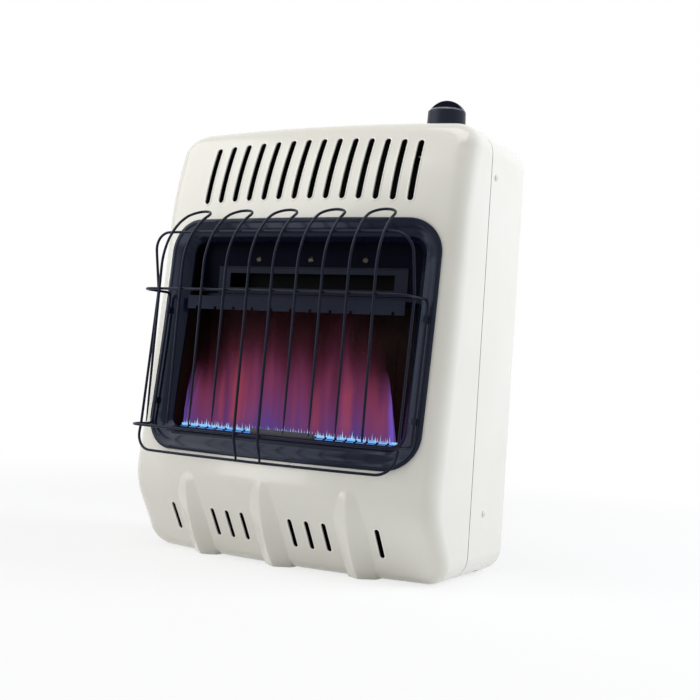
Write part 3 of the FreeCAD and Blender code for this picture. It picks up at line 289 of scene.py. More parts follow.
def stretched_noise(tree, place, scale, detail, shift=0.0):
    """Noise with a scale of its own along each axis."""
    moved = {"Vector": place, "Location": (shift, shift, 0), "Scale": scale}
    stretched = add_node(tree, "Mapping", moved).outputs["Vector"]
    feeds = {"Vector": stretched, "Scale": 1.0, "Detail": detail}
    return add_node(tree, "TexNoise", feeds).outputs["Fac"]


print("stain helpers ready")

# %% heat-stained steel
stain_low, stain_high = 0.17, 0.34
stain_red = (0.045, 0.014, 0.010)
streak_scale, streak_detail = (60, 60, 3), 2.0
soot_low, soot_high, soot_most = 0.30, 0.37, 0.9
soot_black = (0.001, 0.001, 0.0015)
firebox = finish("firebox_steel", (0.010, 0.006, 0.005), (0.024, 0.015, 0.011), 0.5, 500, 0.2,
                 cloud_scale=14, specular=0.04)
tree = firebox.node_tree
shader = tree.nodes["Principled BSDF"]
cloudy = shader.inputs["Base Color"].links[0].from_socket
place, axes = object_place(tree)
hot = span(tree, axes["Z"], stain_low, stain_high, 1.0, 0.0)
streaks = stretched_noise(tree, place, streak_scale, streak_detail)
stained = mix(tree, sums(tree, "MULTIPLY", hot, streaks), cloudy, stain_red)
soot = span(tree, axes["Z"], soot_low, soot_high, 0.0, soot_most)
feed(tree, shader, {"Base Color": mix(tree, soot, stained, soot_black)})
finishes["firebox_steel"] = firebox
print("firebox stain from", stain_low, "to", stain_high, "m")

# %% [markdown]
# Every CAD node takes the finish of its slot in the record. The hood has the same black enamel as
# the bezel, but heat and soot have dulled it. The plate in front of the burner is black enamel too,
# but it is painted a lighter grey: painted light that lifts it out of the bezel's shade. These get
# finishes of their own.

# %% paint the CAD nodes
own_finish = {"hood": "hood_black", "hood_frame": "frame_slate", "hood_lip": "frame_slate",
              "centre_plate": "plate_slate"}
for name, part in nodes.items():
    part.data.materials.clear()
    part.data.materials.append(finishes[own_finish.get(name, slot_of[name])])
print("painted", len(nodes), "nodes")

# %% [markdown]
# A imported node is loose triangles, so it shades flat. The pieces whose curves catch the light are
# copied, their corners are merged, and the copy is shaded smooth up to a set angle. Its normals
# are weighted by area, so that large flat panels stay flat beside their rounded edges. The copy
# then stands for the node. Wires get their faces turned back into quads and one step of
# subdivision, which rounds their section, and are thickened by what that step takes off. The
# casing is enamelled outside, and its inside faces are painted near black: painted shade that keeps
# the inside of the casing, and what shows through the slots, dark.

# %% smooth copies
merge_gap = 1e-6
panel_angle, wire_angle = 32, 60
wire_thicken = 0.00033


def smooth(angle):
    """Shades the active object smooth where its faces meet below an angle."""
    bpy.ops.object.shade_smooth_by_angle(angle=math.radians(angle))


def smooth_copy(name, angle, rounds=0):
    """Merged copy of a CAD node, smooth below an angle, which stands for that node."""
    copy = bpy.data.objects.new(name + "_skin", nodes[name].data.copy())
    bpy.context.scene.collection.objects.link(copy)
    pick(copy)
    edit_all()
    bpy.ops.mesh.remove_doubles(threshold=merge_gap)
    if rounds:
        bpy.ops.mesh.tris_convert_to_quads(face_threshold=0.3, shape_threshold=0.7)
    edit_done()
    if rounds:
        modify(copy, "SUBSURF", levels=rounds, render_levels=rounds)
        modify(copy, "DISPLACE", strength=wire_thicken, mid_level=0.0)
    smooth(angle)
    if not rounds:
        modify(copy, "WEIGHTED_NORMAL", keep_sharp=True)
    settle(copy, name + "_skin", body_of[name], finishes[slot_of[name]])
    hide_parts(name)
    print(copy.name, len(copy.data.polygons), "faces")
    return copy


def paint_inner_shade(obj, centre):
    """Paints the faces that look towards a point inside the casing near black, as painted shade."""
    obj.data.materials.append(finishes["inner_primer"])
    for polygon in obj.data.polygons:
        if polygon.normal.dot(centre - polygon.center) > 0:
            polygon.material_index = 1


casing_middle = Vector((0, -0.10, 0.30))
# the inside of the housing gets the painted shade
paint_inner_shade(smooth_copy("rear_housing", panel_angle), casing_middle)
knob = smooth_copy("control_knob", panel_angle)
for name in ("burner", "regulator", "valve_body"):
    smooth_copy(name, panel_angle)
for name in ("guard_hairpins", "guard_frame", "guard_loop"):
    smooth_copy(name, wire_angle, 1)

# %% [markdown]
# The knob is black plastic. Its shoulder is painted a lighter grey and is glossier: a painted
# highlight that shows as a bright ring. The flat cheeks of its grip are painted darker, as painted
# shade, and are matt. Both are faces of the same mesh, picked by where they look.

# %% shoulder and grip of the knob
shoulder_low, shoulder_high = 0.6125, 0.6158
shoulder_flattest, shoulder_steepest = 0.8, 0.5
grip_flattest = 0.4
# the shoulder faces get the painted highlight, the grip's upright faces the painted shade
knob.data.materials.append(finishes["knob_edge"])
knob.data.materials.append(finishes["knob_grip"])
marked = [0, 0, 0]
for polygon in knob.data.polygons:
    high, slant = polygon.center.z, polygon.normal.z
    slanted = shoulder_steepest < slant < shoulder_flattest
    if shoulder_low < high < shoulder_high and slanted:
        polygon.material_index = 1
    elif high > shoulder_high and slant < grip_flattest:
        polygon.material_index = 2
    marked[polygon.material_index] += 1
print(knob.name, "faces plain, polished, matt:", marked)

# %% [markdown]
# The front cover is one sheet of steel, pressed into a shell with a bulging nose and a bowed face.
# It carries most of the light, so its mesh has to be even, and sculpting or a stack of bevels
# would leave it uneven. Its points are worked out instead: rings of quads run along the side wall
# and round the rounded edge, and a plain grid fills the face inside them. The three ridges of the
# chin only push the grid forwards. The sizes are those of the CAD model, in millimetres.

# %% shape of the face
cover_half = 230.5
cover_high = 590.0
seam_y = -115.0
edge_r = 27.0
nose_z, nose_depth, nose_r = 112.0, 255.4, 80.0
chin_turn, lean_turn = math.radians(31.8), math.radians(7.8)
crown_z, crown_r = 440.0, 400.0
bow_z, bow_low, bow_top, bow_power = 142.0, 28.4, 1.0, 2.5


def face_depth(z):
    """How far the middle of the face stands from the wall at a height."""
    chin_z = nose_z - nose_r * math.sin(chin_turn)
    lean_z = nose_z + nose_r * math.sin(lean_turn)
    if z < chin_z:
        start = nose_depth - nose_r * (1 - math.cos(chin_turn))
        return start - math.tan(chin_turn) * (chin_z - z)
    if z < lean_z:
        return nose_depth - nose_r + math.sqrt(nose_r ** 2 - (z - nose_z) ** 2)
    start = nose_depth - nose_r * (1 - math.cos(lean_turn))
    line = start - math.tan(lean_turn) * (min(z, crown_z) - lean_z)
    if z < crown_z:
        return line
    rise = math.sin(lean_turn) + (z - crown_z) / crown_r
    return line - crown_r * (math.cos(lean_turn) - math.sqrt(1 - rise ** 2))


def face_y(x, z):
    """Depth of the bowed face at a place."""
    share = min(max((z - bow_z) / (cover_high - bow_z), 0.0), 1.0)
    bow = bow_top + (bow_low - bow_top) * (1 - share ** bow_power)
    return -face_depth(z) + bow * (x / cover_half) ** 2


print("face at the nose", face_y(0, nose_z), "at the top", round(face_y(0, cover_high), 1))

# %% ridges of the chin
rib_places = (-121.0, 0.0, 121.0)
rib_r, rib_half, rib_top_half, rib_crest = 165.0, 19.0, 3.0, 1.2
rib_start_high, rib_start_run, rib_spread_run = 5.0, 7.0, 36.0
no_rib = 1e3


def rib_y(x, z):
    """Depth of the nearest chin ridge, or a far value where there is none."""
    if z > nose_z:
        return no_rib
    middle = min(rib_places, key=lambda place: abs(place - x))
    tall = nose_depth - rib_r + math.sqrt(rib_r ** 2 - (nose_z - z) ** 2) - face_depth(z)
    tall = math.hypot(tall, rib_start_high * (1 - math.exp((z - nose_z) / rib_start_run)))
    spread = math.sqrt(min((nose_z - z) / rib_spread_run, 1.0))
    wide = rib_top_half + (rib_half - rib_top_half) * spread
    left = tall * (1 - (math.hypot(x - middle, rib_crest) - rib_crest) / wide)
    return face_y(x, z) - left if left > 0 else no_rib


def skin_y(x, z):
    """Depth of the face or of the ridge that stands out of it."""
    return min(face_y(x, z), rib_y(x, z))


print("ridges stand out", round(face_y(0, 0) - skin_y(0, 0), 1), "mm at the bottom")

# %% outline of the cover
low_r, high_r, arch = 32.0, 40.0, 7.0
across, upward, turn_steps = 264, 150, 16
inner_low, inner_high = cover_half - low_r, cover_half - high_r
shoulder_z = cover_high - high_r


def run(start, end, steps):
    """Even points from one place to just before another."""
    return [tuple(a + (b - a) * i / steps for a, b in zip(start, end)) for i in range(steps)]


def rounded_loop(centres, radii, steps, turn_steps):
    """Points round four corners, which are given by their centres, the lower left one first."""
    loop = []
    for k in range(4):
        ends = ((centres[k], radii[k]), (centres[(k + 1) % 4], radii[(k + 1) % 4]))
        turns = [math.pi / 2 * (k - 1 + i / turn_steps) for i in range(turn_steps)]
        out = (math.cos(turns[0]), math.sin(turns[0]))
        start, end = [(x + r * out[0], z + r * out[1]) for (x, z), r in ends]
        loop += run(start, end, steps[k % 2])
        (x, z), r = ends[1]
        loop += [(x + r * math.cos(turn), z + r * math.sin(turn)) for turn in turns]
    return loop


corners = ((-inner_low, low_r), (inner_low, low_r), (inner_high, shoulder_z),
           (-inner_high, shoulder_z))
outline = rounded_loop(corners, (low_r, low_r, high_r, high_r), (across, upward), turn_steps)
core = rounded_loop(corners, (0.0, 0.0, 0.0, 0.0), (across, upward), turn_steps)
for i, (x, z) in enumerate(outline):
    share = min(max((z - shoulder_z) / high_r, 0.0), 1.0)
    outline[i] = (x, z - arch * (x / cover_half) ** 2 * share)
ways = []
for i in range(len(outline)):
    (x0, z0), (x1, z1) = outline[i - 1], outline[(i + 1) % len(outline)]
    size = math.hypot(x1 - x0, z1 - z0)
    ways.append((-(z1 - z0) / size, (x1 - x0) / size))
print(len(outline), "points round the cover")

# %% rings of the rounded edge
rim_steps = 8
band_steps = 5
seam_open = 1.5
rings = [[(x, seam_y - seam_open, z) for x, z in outline]]
rim = [[] for step in range(rim_steps + 1)]
shore = []
for (x, z), (in_x, in_z) in zip(outline, ways):
    slope = face_y(x + in_x, z + in_z) - face_y(x, z)
    corner = math.acos(slope / math.hypot(1, slope))
    reach = edge_r / math.tan(corner / 2)
    weight = math.sin(corner / 2)
    flat = reach / math.hypot(1, slope)
    edge_y = face_y(x, z)
    far_y = face_y(x + in_x * flat, z + in_z * flat)
    for step in range(rim_steps + 1):
        t = step / rim_steps
        a, b, c = (1 - t) ** 2, 2 * t * (1 - t) * weight, t * t
        inset = flat * c / (a + b + c)
        y = (a * (edge_y + reach) + b * edge_y + c * far_y) / (a + b + c)
        px, pz = x + in_x * inset, z + in_z * inset
        rim[step].append((px, min(y, rib_y(px, pz)), pz))
    shore.append((x + in_x * flat, z + in_z * flat))
rings += rim
for step in range(1, band_steps + 1):
    t = step / band_steps
    band = [(x0 + (x1 - x0) * t, z0 + (z1 - z0) * t) for (x0, z0), (x1, z1) in zip(shore, core)]
    rings.append([(x, skin_y(x, z), z) for x, z in band])
rows = []
for k in range(upward + 1):
    half = inner_low + (inner_high - inner_low) * k / upward
    z = low_r + (shoulder_z - low_r) * k / upward
    places = [half * (2 * i / across - 1) for i in range(across + 1)]
    rows.append([(x, skin_y(x, z), z) for x in places])
print(len(rings), "rings and", len(rows), "rows of the face")

# %% mesh helpers


def ring_mesh(name, rings, closed=False, looped=True):
    """Mesh of quads between rings or rows of points given in millimetres."""
    count = len(rings[0])
    mesh = bpy.data.meshes.new(name)
    points = [[c / 1000 for c in point] for ring in rings for point in ring]
    faces = []
    for r in range(len(rings) if closed else len(rings) - 1):
        s = (r + 1) % len(rings)
        for i in range(count if looped else count - 1):
            j = (i + 1) % count
            faces.append((r * count + i, r * count + j, s * count + j, s * count + i))
    mesh.from_pydata(points, [], faces)
    made = bpy.data.objects.new(name, mesh)
    bpy.context.scene.collection.objects.link(made)
    return pick(made)


def join(pieces, name):
    """Joins several objects into the first."""
    pick(pieces[0])
    for piece in pieces:
        piece.select_set(True)
    bpy.ops.object.join()
    bpy.context.object.name = name
    return bpy.context.object


def delete_faces(obj, wanted):
    """Deletes the faces whose middle a test accepts."""
    pick(obj)
    bpy.ops.object.mode_set(mode="EDIT")
    bpy.ops.mesh.select_mode(type="FACE")
    bpy.ops.mesh.select_all(action="DESELECT")
    edit_done()
    for polygon in obj.data.polygons:
        polygon.select = wanted(polygon.center)
    bpy.ops.object.mode_set(mode="EDIT")
    bpy.ops.mesh.delete(type="FACE")
    edit_done()


print("mesh helpers ready")

# %% cover mesh
window_half, window_low, window_high, window_r = 0.1984, 0.1476, 0.4484, 0.0384
spare_side, spare_end = 0.012, 0.04
sheet_thick = 0.0015


def well_inside_window(c):
    """True for a place in the window that its cutter doesn't reach."""
    beside = abs(c.x) < window_half - spare_side
    return beside and window_low + spare_end < c.z < window_high - spare_end


face_grid = ring_mesh("face_grid", rows, looped=False)
delete_faces(face_grid, well_inside_window)
cover = join([ring_mesh("front_cover_skin", rings), face_grid], "front_cover_skin")
edit_all()
bpy.ops.mesh.remove_doubles(threshold=merge_gap)
bpy.ops.mesh.normals_make_consistent(inside=False)
edit_done()
facing = sum(polygon.normal.y * polygon.area for polygon in cover.data.polygons)
if facing > 0:
    cover.data.flip_normals()
modify(cover, "SOLIDIFY", thickness=sheet_thick, offset=-1)
print(cover.name, len(cover.data.polygons), "faces, facing", round(facing, 4))

# %% [markdown]
# The slots and the window are punched. A cutter is a box whose four long edges are bevelled round.
# One stands where the CAD model has the window and one at each slot, and a single boolean punches
# them all. The cover is enamelled after punching, so the walls of the slots are cream too.

# %% places of the slots
slot_wide, slot_low, slot_high = 8.4, 482.0, 567.0
slot_count, slot_pitch = 14, 24.0
slot_low_drop, slot_high_drop = 4.0, 7.5
intake_wide, intake_low, intake_high = 6.4, 31.0, 68.0
intake_places = (36.5, 60.5, 84.5, 155.0)
slot_end = (slot_count - 1) / 2 * slot_pitch
slots = []
for i in range(slot_count):
    x = i * slot_pitch - slot_end
    side = (x / slot_end) ** 2
    slots.append((x, slot_low - slot_low_drop * side, slot_high - slot_high_drop * side, slot_wide))
for side in (-1, 1):
    for x in intake_places:
        slots.append((side * x, intake_low, intake_high, intake_wide))
print(len(slots), "slots, the outermost at", slot_end, "mm")

# %% punch the slots
bar_long, bar_y = 0.2, -0.24
slot_segments, window_segments = 6, 16
arc_share = 1 / 2.002
cover_angle = 35


def slot_bar(x, low, high, wide, corner_r, segments):
    """Upright bar with round corners, long enough to pass through the face."""
    bpy.ops.mesh.primitive_cube_add(size=1)
    made = bpy.context.object
    edit_all()
    bpy.ops.transform.resize(value=(wide / 1000, bar_long, (high - low) / 1000))
    bpy.ops.transform.translate(value=(x / 1000, bar_y, (low + high) / 2000))
    edit_done()
    for edge in made.data.edges:
        ends = [made.data.vertices[v].co for v in edge.vertices]
        edge.select = abs(ends[0].y - ends[1].y) > bar_long / 2
    bpy.ops.object.mode_set(mode="EDIT")
    bpy.ops.mesh.select_mode(type="EDGE")
    bpy.ops.mesh.bevel(offset=corner_r / 1000, segments=segments, affect="EDGES")
    edit_done()
    return made


bars = [slot_bar(*slot, slot[-1] * arc_share, slot_segments) for slot in slots]
window_mm = [1000 * size for size in (window_low, window_high, 2 * window_half, window_r)]
bars.append(slot_bar(0, *window_mm, window_segments))
punch = join(bars, "punch")
pick(cover)
modify(cover, "BOOLEAN", operation="DIFFERENCE", solver="EXACT", object=punch)
bpy.data.objects.remove(punch)
pick(cover)
smooth(cover_angle)
settle(cover, "front_cover_skin", "casing", finishes["enamel_cream"])
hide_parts("front_cover")
print(cover.name, len(cover.data.polygons), "faces with", len(slots), "slots")

# %% painted shade inside the cover
slots_half, slots_low, slots_high = 0.17, 0.02, 0.57
wall_slant = 0.01
paint_inner_shade(cover, casing_middle)
punched = 0
for polygon in cover.data.polygons:
    spot = polygon.center
    near = abs(spot.x) < slots_half and slots_low < spot.z < slots_high
    if near and abs(polygon.normal.y) < wall_slant:
        polygon.material_index = 0
        punched += 1
print(punched, "punched walls keep their enamel")

# %% [markdown]
# Between the cover and the housing there is an open joint, and from outside it is a thin black
# line all round, where the joint lies in shade. The line is painted shade: a dark band that lies
# just below the two sheets, from the same outline as the cover. A deeper band would be hidden
# wherever the joint is seen at a slant.

# %% seam band of painted shade
band_sink, band_thick = 0.12, 0.8
band_deep = band_sink + band_thick
seam_front = seam_y - seam_open
seam_rings = []
for inset, y in ((band_sink, seam_front), (band_sink, seam_y), (band_deep, seam_y),
                 (band_deep, seam_front)):
    seam_rings.append([(x + in_x * inset, y, z + in_z * inset)
                       for (x, z), (in_x, in_z) in zip(outline, ways)])
# a dark band in the joint, painted shade
seam_shade_band = ring_mesh("seam_shade_band", seam_rings, True)
settle(seam_shade_band, "seam_shade_band", "casing", finishes["hood_black"])
print(seam_shade_band.name, len(seam_shade_band.data.polygons), "faces")

# %% [markdown]
# Each punched slot has a rolled edge that catches the light. The edge is a thin bead that follows
# the slot's outline on the bowed face, painted a paler cream than the face as a painted highlight.
# The window's bezel is made the same way, as rings round the opening: a proud lip, a crease and a
# band that sinks into the window.

# %% rolled slot edges
bead_r, bead_high = 0.95, 0.9
bead_turn, bead_run, bead_round = 12, 10, 5


def slot_path(low, high):
    """Heights on the middle line of a slot, each with the way from there to its edge."""
    path = []
    for start, end, turn in ((high, low, 0.0), (low, high, math.pi)):
        for i in range(bead_turn + 1):
            way = turn + math.pi * i / bead_turn
            path.append((start, math.cos(way), math.sin(way)))
        for i in range(1, bead_run):
            path.append((start + (end - start) * i / bead_run, -math.cos(turn), 0.0))
    return path


beads = []
for x, low, high, wide in slots:
    path = slot_path(low + wide / 2, high - wide / 2)
    bead = []
    for step in range(bead_round + 1):
        turn = math.pi * step / bead_round
        spread = wide / 2 + bead_r * (1 + math.cos(turn))
        places = [(x + way_x * spread, z + way_z * spread) for z, way_x, way_z in path]
        bead.append([(px, skin_y(px, pz) - bead_high * math.sin(turn), pz) for px, pz in places])
    beads.append(ring_mesh("bead", bead))
    bpy.ops.object.shade_smooth()
slot_beads = join(beads, "slot_beads")
# the bead's paler cream is a painted highlight
settle(slot_beads, "slot_beads", "casing", finishes["edge_cream"])
print(slot_beads.name, len(slot_beads.data.polygons), "faces")

# %% window bezel
bezel_half, bezel_low, bezel_high = 206.0, 140.0, 456.0
bezel_r, bezel_least_r = 46.0, 8.0
bezel_steps, bezel_turn = (120, 90), 20
bezel_angle = 28
bezel_section = (
    (0.0, 0.5), (0.1, 2.6), (0.7, 3.6), (1.8, 4.0), (4.4, 4.0), (5.4, 3.6), (7.0, 2.0), (13.0, 0.2),
    (19.0, -1.6), (20.5, -2.4), (25.0, -8.0), (29.2, -13.2), (30.0, -14.4), (30.4, -17.0),
    (28.8, -17.0), (28.5, -14.4), (19.4, -3.2), (6.6, 0.8), (5.0, 0.5),
)
bezel_rings = []
for inset, proud in bezel_section:
    r = max(bezel_r - inset, bezel_least_r)
    half, low, high = bezel_half - inset - r, bezel_low + inset + r, bezel_high - inset - r
    centres = ((-half, low), (half, low), (half, high), (-half, high))
    loop = rounded_loop(centres, (r, r, r, r), bezel_steps, bezel_turn)
    bezel_rings.append([(x, face_y(x, z) - proud, z) for x, z in loop])
bezel = ring_mesh("window_bezel_skin", bezel_rings, True)
smooth(bezel_angle)
settle(bezel, "window_bezel_skin", "casing", finishes["enamel_black"])
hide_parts("window_bezel")
print(bezel.name, len(bezel.data.polygons), "faces")

# %% [markdown]
# Sheet-metal screws: a domed head with a cross recess. One head is modelled from a ball that is
# cut flat and squashed, and two thin blocks cut the cross. A dome that was extruded from a circle
# would need many insets for the same curve. The head is made once, and its copies are turned to
# face out of their panels. The side screws went through the enamel bath with the casing, so they
# are cream. Those of the hood are blackened.

# %% one screw head
head_r, head_high = 0.0045, 0.0023
head_segments, head_rings, head_angle = 28, 16, 40
blade_long, blade_wide, blade_tall = 0.0046, 0.0010, 0.002
bpy.ops.mesh.primitive_uv_sphere_add(segments=head_segments, ring_count=head_rings, radius=head_r)
head = bpy.context.object
edit_all()
bpy.ops.mesh.bisect(plane_co=(0, 0, 0), plane_no=(0, 0, 1), use_fill=True, clear_inner=True)
bpy.ops.mesh.select_all(action="SELECT")
bpy.ops.transform.resize(value=(1, 1, head_high / head_r), center_override=(0, 0, 0))
edit_done()
for size in ((blade_long, blade_wide, blade_tall), (blade_wide, blade_long, blade_tall)):
    bpy.ops.mesh.primitive_cube_add(size=1, location=(0, 0, head_high))
    blade = bpy.context.object
    bpy.ops.transform.resize(value=size)
    pick(head)
    modify(head, "BOOLEAN", operation="DIFFERENCE", object=blade)
    bpy.data.objects.remove(blade)
pick(head)
smooth(head_angle)
print("one head", len(head.data.polygons), "faces")

# %% screws in place
hood_face_y, hood_screw_z, hood_screw_pitch = -0.168, 0.405, 0.0833
hood_screws = [(i * hood_screw_pitch, hood_face_y, hood_screw_z) for i in (-1, 0, 1)]
wall_x = 0.2305
side_screws = ((-0.100, 0.522), (-0.072, 0.084))


def copy_of(master, placing):
    """Copy of a modelled piece with its own mesh, moved by a matrix."""
    made = bpy.data.objects.new(master.name, master.data.copy())
    bpy.context.scene.collection.objects.link(made)
    made.matrix_world = placing
    pick(made)
    bpy.ops.object.transform_apply(location=True, rotation=True, scale=True)
    return made


face_out = Matrix.Rotation(math.pi / 2, 4, "X")
heads = [copy_of(head, Matrix.Translation(place) @ face_out) for place in hood_screws]
hood_heads = join(heads, "heads")
settle(hood_heads, "hood_screw_heads", "casing", finishes["screw_black"])
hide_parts("hood_screws")

heads = []
for side in (-1, 1):
    out = Matrix.Rotation(side * math.pi / 2, 4, "Y")
    for y, z in side_screws:
        heads.append(copy_of(head, Matrix.Translation((side * wall_x, y, z)) @ out))
side_heads = join(heads, "heads")
settle(side_heads, "side_screw_heads", "casing", finishes["enamel_cream"])
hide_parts("side_screws")
bpy.data.objects.remove(head)
print(len(hood_screws), "screws in the hood and", len(heads), "in the sides")

# %% [markdown]
# Flames. A blue-flame burner shows a curtain of thin gas flames: blue at the ports, mauve above
# them and a dim red haze where the gas burns out. Smoke simulation could make them, but it would
# not be the same each run and it has no mesh to hand on. Here the curtain is three upright sheets,
# narrower at the top and slightly wavy. Their material glows. Height sets the colour, and
# stretched noise moves that height up and down, so the columns of the curtain burn out at
# different heights. The sheet's own UV map marks the violet line along its two edges.

# %% colours of the flames
flame_low, flame_high = 0.1730, 0.340
noise_low, noise_high = 0.36, 0.64
column_red = (0.42, 0.065, 0.075)
edge_violet = (0.20, 0.11, 0.62)
haze_stops = (
    (0.0, (0.10, 0.055, 0.24)), (0.12, (0.15, 0.045, 0.17)), (0.36, (0.17, 0.036, 0.105)),
    (0.59, (0.10, 0.018, 0.042)), (0.80, (0.035, 0.006, 0.012)), (1.0, (0.022, 0.003, 0.006)),
)
red_zone = ((0.0, 0.2), (0.10, 1), (0.33, 1), (0.65, 0))
edge_zone = ((0.0, 1), (0.26, 0.8), (0.54, 0))
thin_zone = ((0.22, 0), (0.54, 1))
fade_zone = ((0.0, 0.75), (0.39, 0.62), (0.63, 0.28), (0.84, 0.13), (1.0, 0.08))
edge_from, edge_to = 0.480, 0.497
thin_from, thin_to = 0.30, 0.5
burn_columns = ((22, 1, 1.5), 2.0, -0.14, 0.17)
red_columns = ((36, 1, 2.6), 1.0, -1.0, 0.7)
streak_columns = ((70, 1, 5.0), 2.0, 0.5, 1.0)
print("flames from", flame_low, "to", flame_high, "m")

# %% flame material


def glow_material(name, strength):
    """Material that only glows: black and without gloss."""
    made, tree, shader = new_material(name)
    feed(tree, shader, {"Base Color": (0, 0, 0, 1), "Roughness": 1.0, "Specular IOR Level": 0.0,
                        "Emission Strength": strength})
    return made, tree, shader


def flame_finish(name, seed, strength):
    """Glowing haze: colour by height, broken into columns, with violet side edges."""
    made, tree, shader = glow_material(name, strength)
    place, axes = object_place(tree)
    height = span(tree, axes["Z"], flame_low, flame_high)
    chart = add_node(tree, "UVMap", {}, uv_map="UVMap").outputs["UV"]
    across = add_node(tree, "SeparateXYZ", {"Vector": chart}).outputs["X"]
    from_middle = sums(tree, "ABSOLUTE", sums(tree, "SUBTRACT", across, 0.5))

    def columns(scale, detail, low, high):
        """Upright noise between two levels."""
        noise = stretched_noise(tree, place, scale, detail, seed)
        return span(tree, noise, noise_low, noise_high, low, high)

    def zone(value, levels):
        """Grey ramp over a value."""
        return ramp(tree, value, [(spot, (level,) * 3) for spot, level in levels])

    def product(first, second):
        """Two values multiplied."""
        return sums(tree, "MULTIPLY", first, second)

    burnt = sums(tree, "ADD", height, columns(*burn_columns))
    red = product(columns(*red_columns), zone(height, red_zone))
    red = sums(tree, "MAXIMUM", red, 0.0)
    reddened = mix(tree, red, ramp(tree, burnt, haze_stops), column_red)
    edge = product(span(tree, from_middle, edge_from, edge_to), zone(height, edge_zone))
    thin = product(span(tree, from_middle, thin_from, thin_to), zone(height, thin_zone))
    streaky = product(zone(burnt, fade_zone), columns(*streak_columns))
    feed(tree, shader, {
        "Emission Color": mix(tree, edge, reddened, edge_violet),
        "Alpha": product(streaky, sums(tree, "SUBTRACT", 1.0, thin)),
    })
    return made


print("flame materials ready")

# %% flame curtains
burner_low, burner_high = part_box("port_plate")
flame_half = burner_high.x
flame_mid = -0.003
port_y = burner_low.y
sheet_columns, sheet_rows = 60, 24
sheet_gap = 0.006
sheet_glow = 0.95
ripple_scale, ripple_high = 0.05, 0.010


def curtain(name, y, seed, narrow):
    """Upright sheet over the ports, narrowed at the top and rippled."""
    bpy.ops.mesh.primitive_grid_add(x_subdivisions=sheet_columns, y_subdivisions=sheet_rows, size=1)
    sheet = bpy.context.object
    edit_all()
    wide = 2 * flame_half / (1 + narrow / 2)
    bpy.ops.transform.resize(value=(wide, flame_high - flame_low, 1))
    bpy.ops.transform.rotate(value=-math.pi / 2, orient_axis="X", center_override=(0, 0, 0))
    edit_done()
    modify(sheet, "SIMPLE_DEFORM", deform_method="TAPER", deform_axis="Z", factor=-narrow)
    clouds = bpy.data.textures.new(name + "_ripple", "CLOUDS")
    clouds.noise_scale = ripple_scale
    modify(sheet, "DISPLACE", texture=clouds, strength=ripple_high)
    bpy.ops.object.shade_smooth()
    sheet.location = (flame_mid, y, (flame_low + flame_high) / 2)
    settle(sheet, name, "casing", flame_finish(name, seed, sheet_glow))
    heights = [v.co.z for v in sheet.data.vertices]
    print(name, "from", round(min(heights), 4), "to", round(max(heights), 4))


curtain("flame_curtain_front", port_y, 0.0, 0.14)
curtain("flame_curtain_middle", port_y + sheet_gap, 3.7, 0.185)
curtain("flame_curtain_back", port_y + 2 * sheet_gap, 8.1, 0.25)

# %% [markdown]
# At the ports the flames are small, sharp and nearly white-blue, in two rows: spikes on top of the
# burner, and short blue dashes at its front edge. A particle system could scatter them, but then
# each one would have to be made a mesh anyway. One spike is a six-sided cone whose middle is drawn
# in, and one dash is a bevelled block. The copies of the spike stand along the ports with heights
# that vary by a simple sine rule.

# %% blue tongue material
tongue_high = 0.013
tongue_foot, tongue_solid = 0.0062, 0.004
tongue_dense, tongue_thin = 0.95, 0.25
tongue_stops = ((0.0, (0.02, 0.12, 0.62)), (0.14, (0.06, 0.30, 0.92)), (0.40, (0.34, 0.68, 1.0)),
                (0.70, (0.50, 0.72, 1.0)), (1.0, (0.16, 0.20, 0.75)))
tongue_tip = flame_low + tongue_high
tongue_glow, tree, shader = glow_material("flame_tongue", 1.0)
place, axes = object_place(tree)
height = span(tree, axes["Z"], flame_low - tongue_foot, tongue_tip)
feed(tree, shader, {
    "Emission Color": ramp(tree, height, tongue_stops),
    "Alpha": span(tree, axes["Z"], flame_low + tongue_solid, tongue_tip, tongue_dense, tongue_thin),
})
print("tongues", tongue_high, "m high")

# %% one spike and one dash
tongue_r, tongue_waist = 0.0011, 0.62
waist_low, waist_high = 0.2, 0.8
dash_size, dash_round = (0.0115, 0.0016, 0.0036), 0.0007
bpy.ops.mesh.primitive_cone_add(vertices=6, radius1=tongue_r, radius2=0.0, depth=1.0,
                                location=(0, 0, 0.5))
spike = bpy.context.object
edit_all()
bpy.ops.mesh.subdivide(number_cuts=1)
edit_done()
bpy.ops.object.transform_apply(location=True, rotation=True, scale=True)
for vertex in spike.data.vertices:
    if waist_low < vertex.co.z < waist_high:
        vertex.co.x *= tongue_waist
        vertex.co.y *= tongue_waist
bpy.ops.object.shade_smooth()
bpy.ops.mesh.primitive_cube_add(size=1)
dash = bpy.context.object
edit_all()
bpy.ops.transform.resize(value=dash_size)
bpy.ops.mesh.bevel(offset=dash_round, segments=2, affect="EDGES")
edit_done()
bpy.ops.object.shade_smooth()
print("spike", len(spike.data.polygons), "faces, dash", len(dash.data.polygons))

# %% rows of blue tongues
tongue_pitch, tongue_least, tongue_end = 0.0033, 0.0045, 0.003
tongue_sway, tongue_stagger = 0.0008, 0.002
lift_step, lift_beat, sway_step, stagger_step = 2.399, 0.77, 5.1, 1.3
dash_pitch, dash_count, dash_start = 0.015, 8, 0.007
dash_rows = ((port_y + 0.001, flame_low - 0.0002), (port_y - 0.003, flame_low - 0.0044))
centre_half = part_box("centre_plate")[1].x
tongues = []
count = int((flame_half - tongue_end) / tongue_pitch)
for i in range(-count, count + 1):
    lift = 0.5 + 0.5 * math.sin(i * lift_step) * math.cos(i * lift_beat)
    high = tongue_least + (tongue_high - tongue_least) * lift * lift
    x = flame_mid + i * tongue_pitch + tongue_sway * math.sin(i * sway_step)
    place = (x, port_y + tongue_stagger * math.sin(i * stagger_step), flame_low)
    tongues.append(copy_of(spike, Matrix.Translation(place) @ Matrix.Diagonal((1, 1, high, 1))))
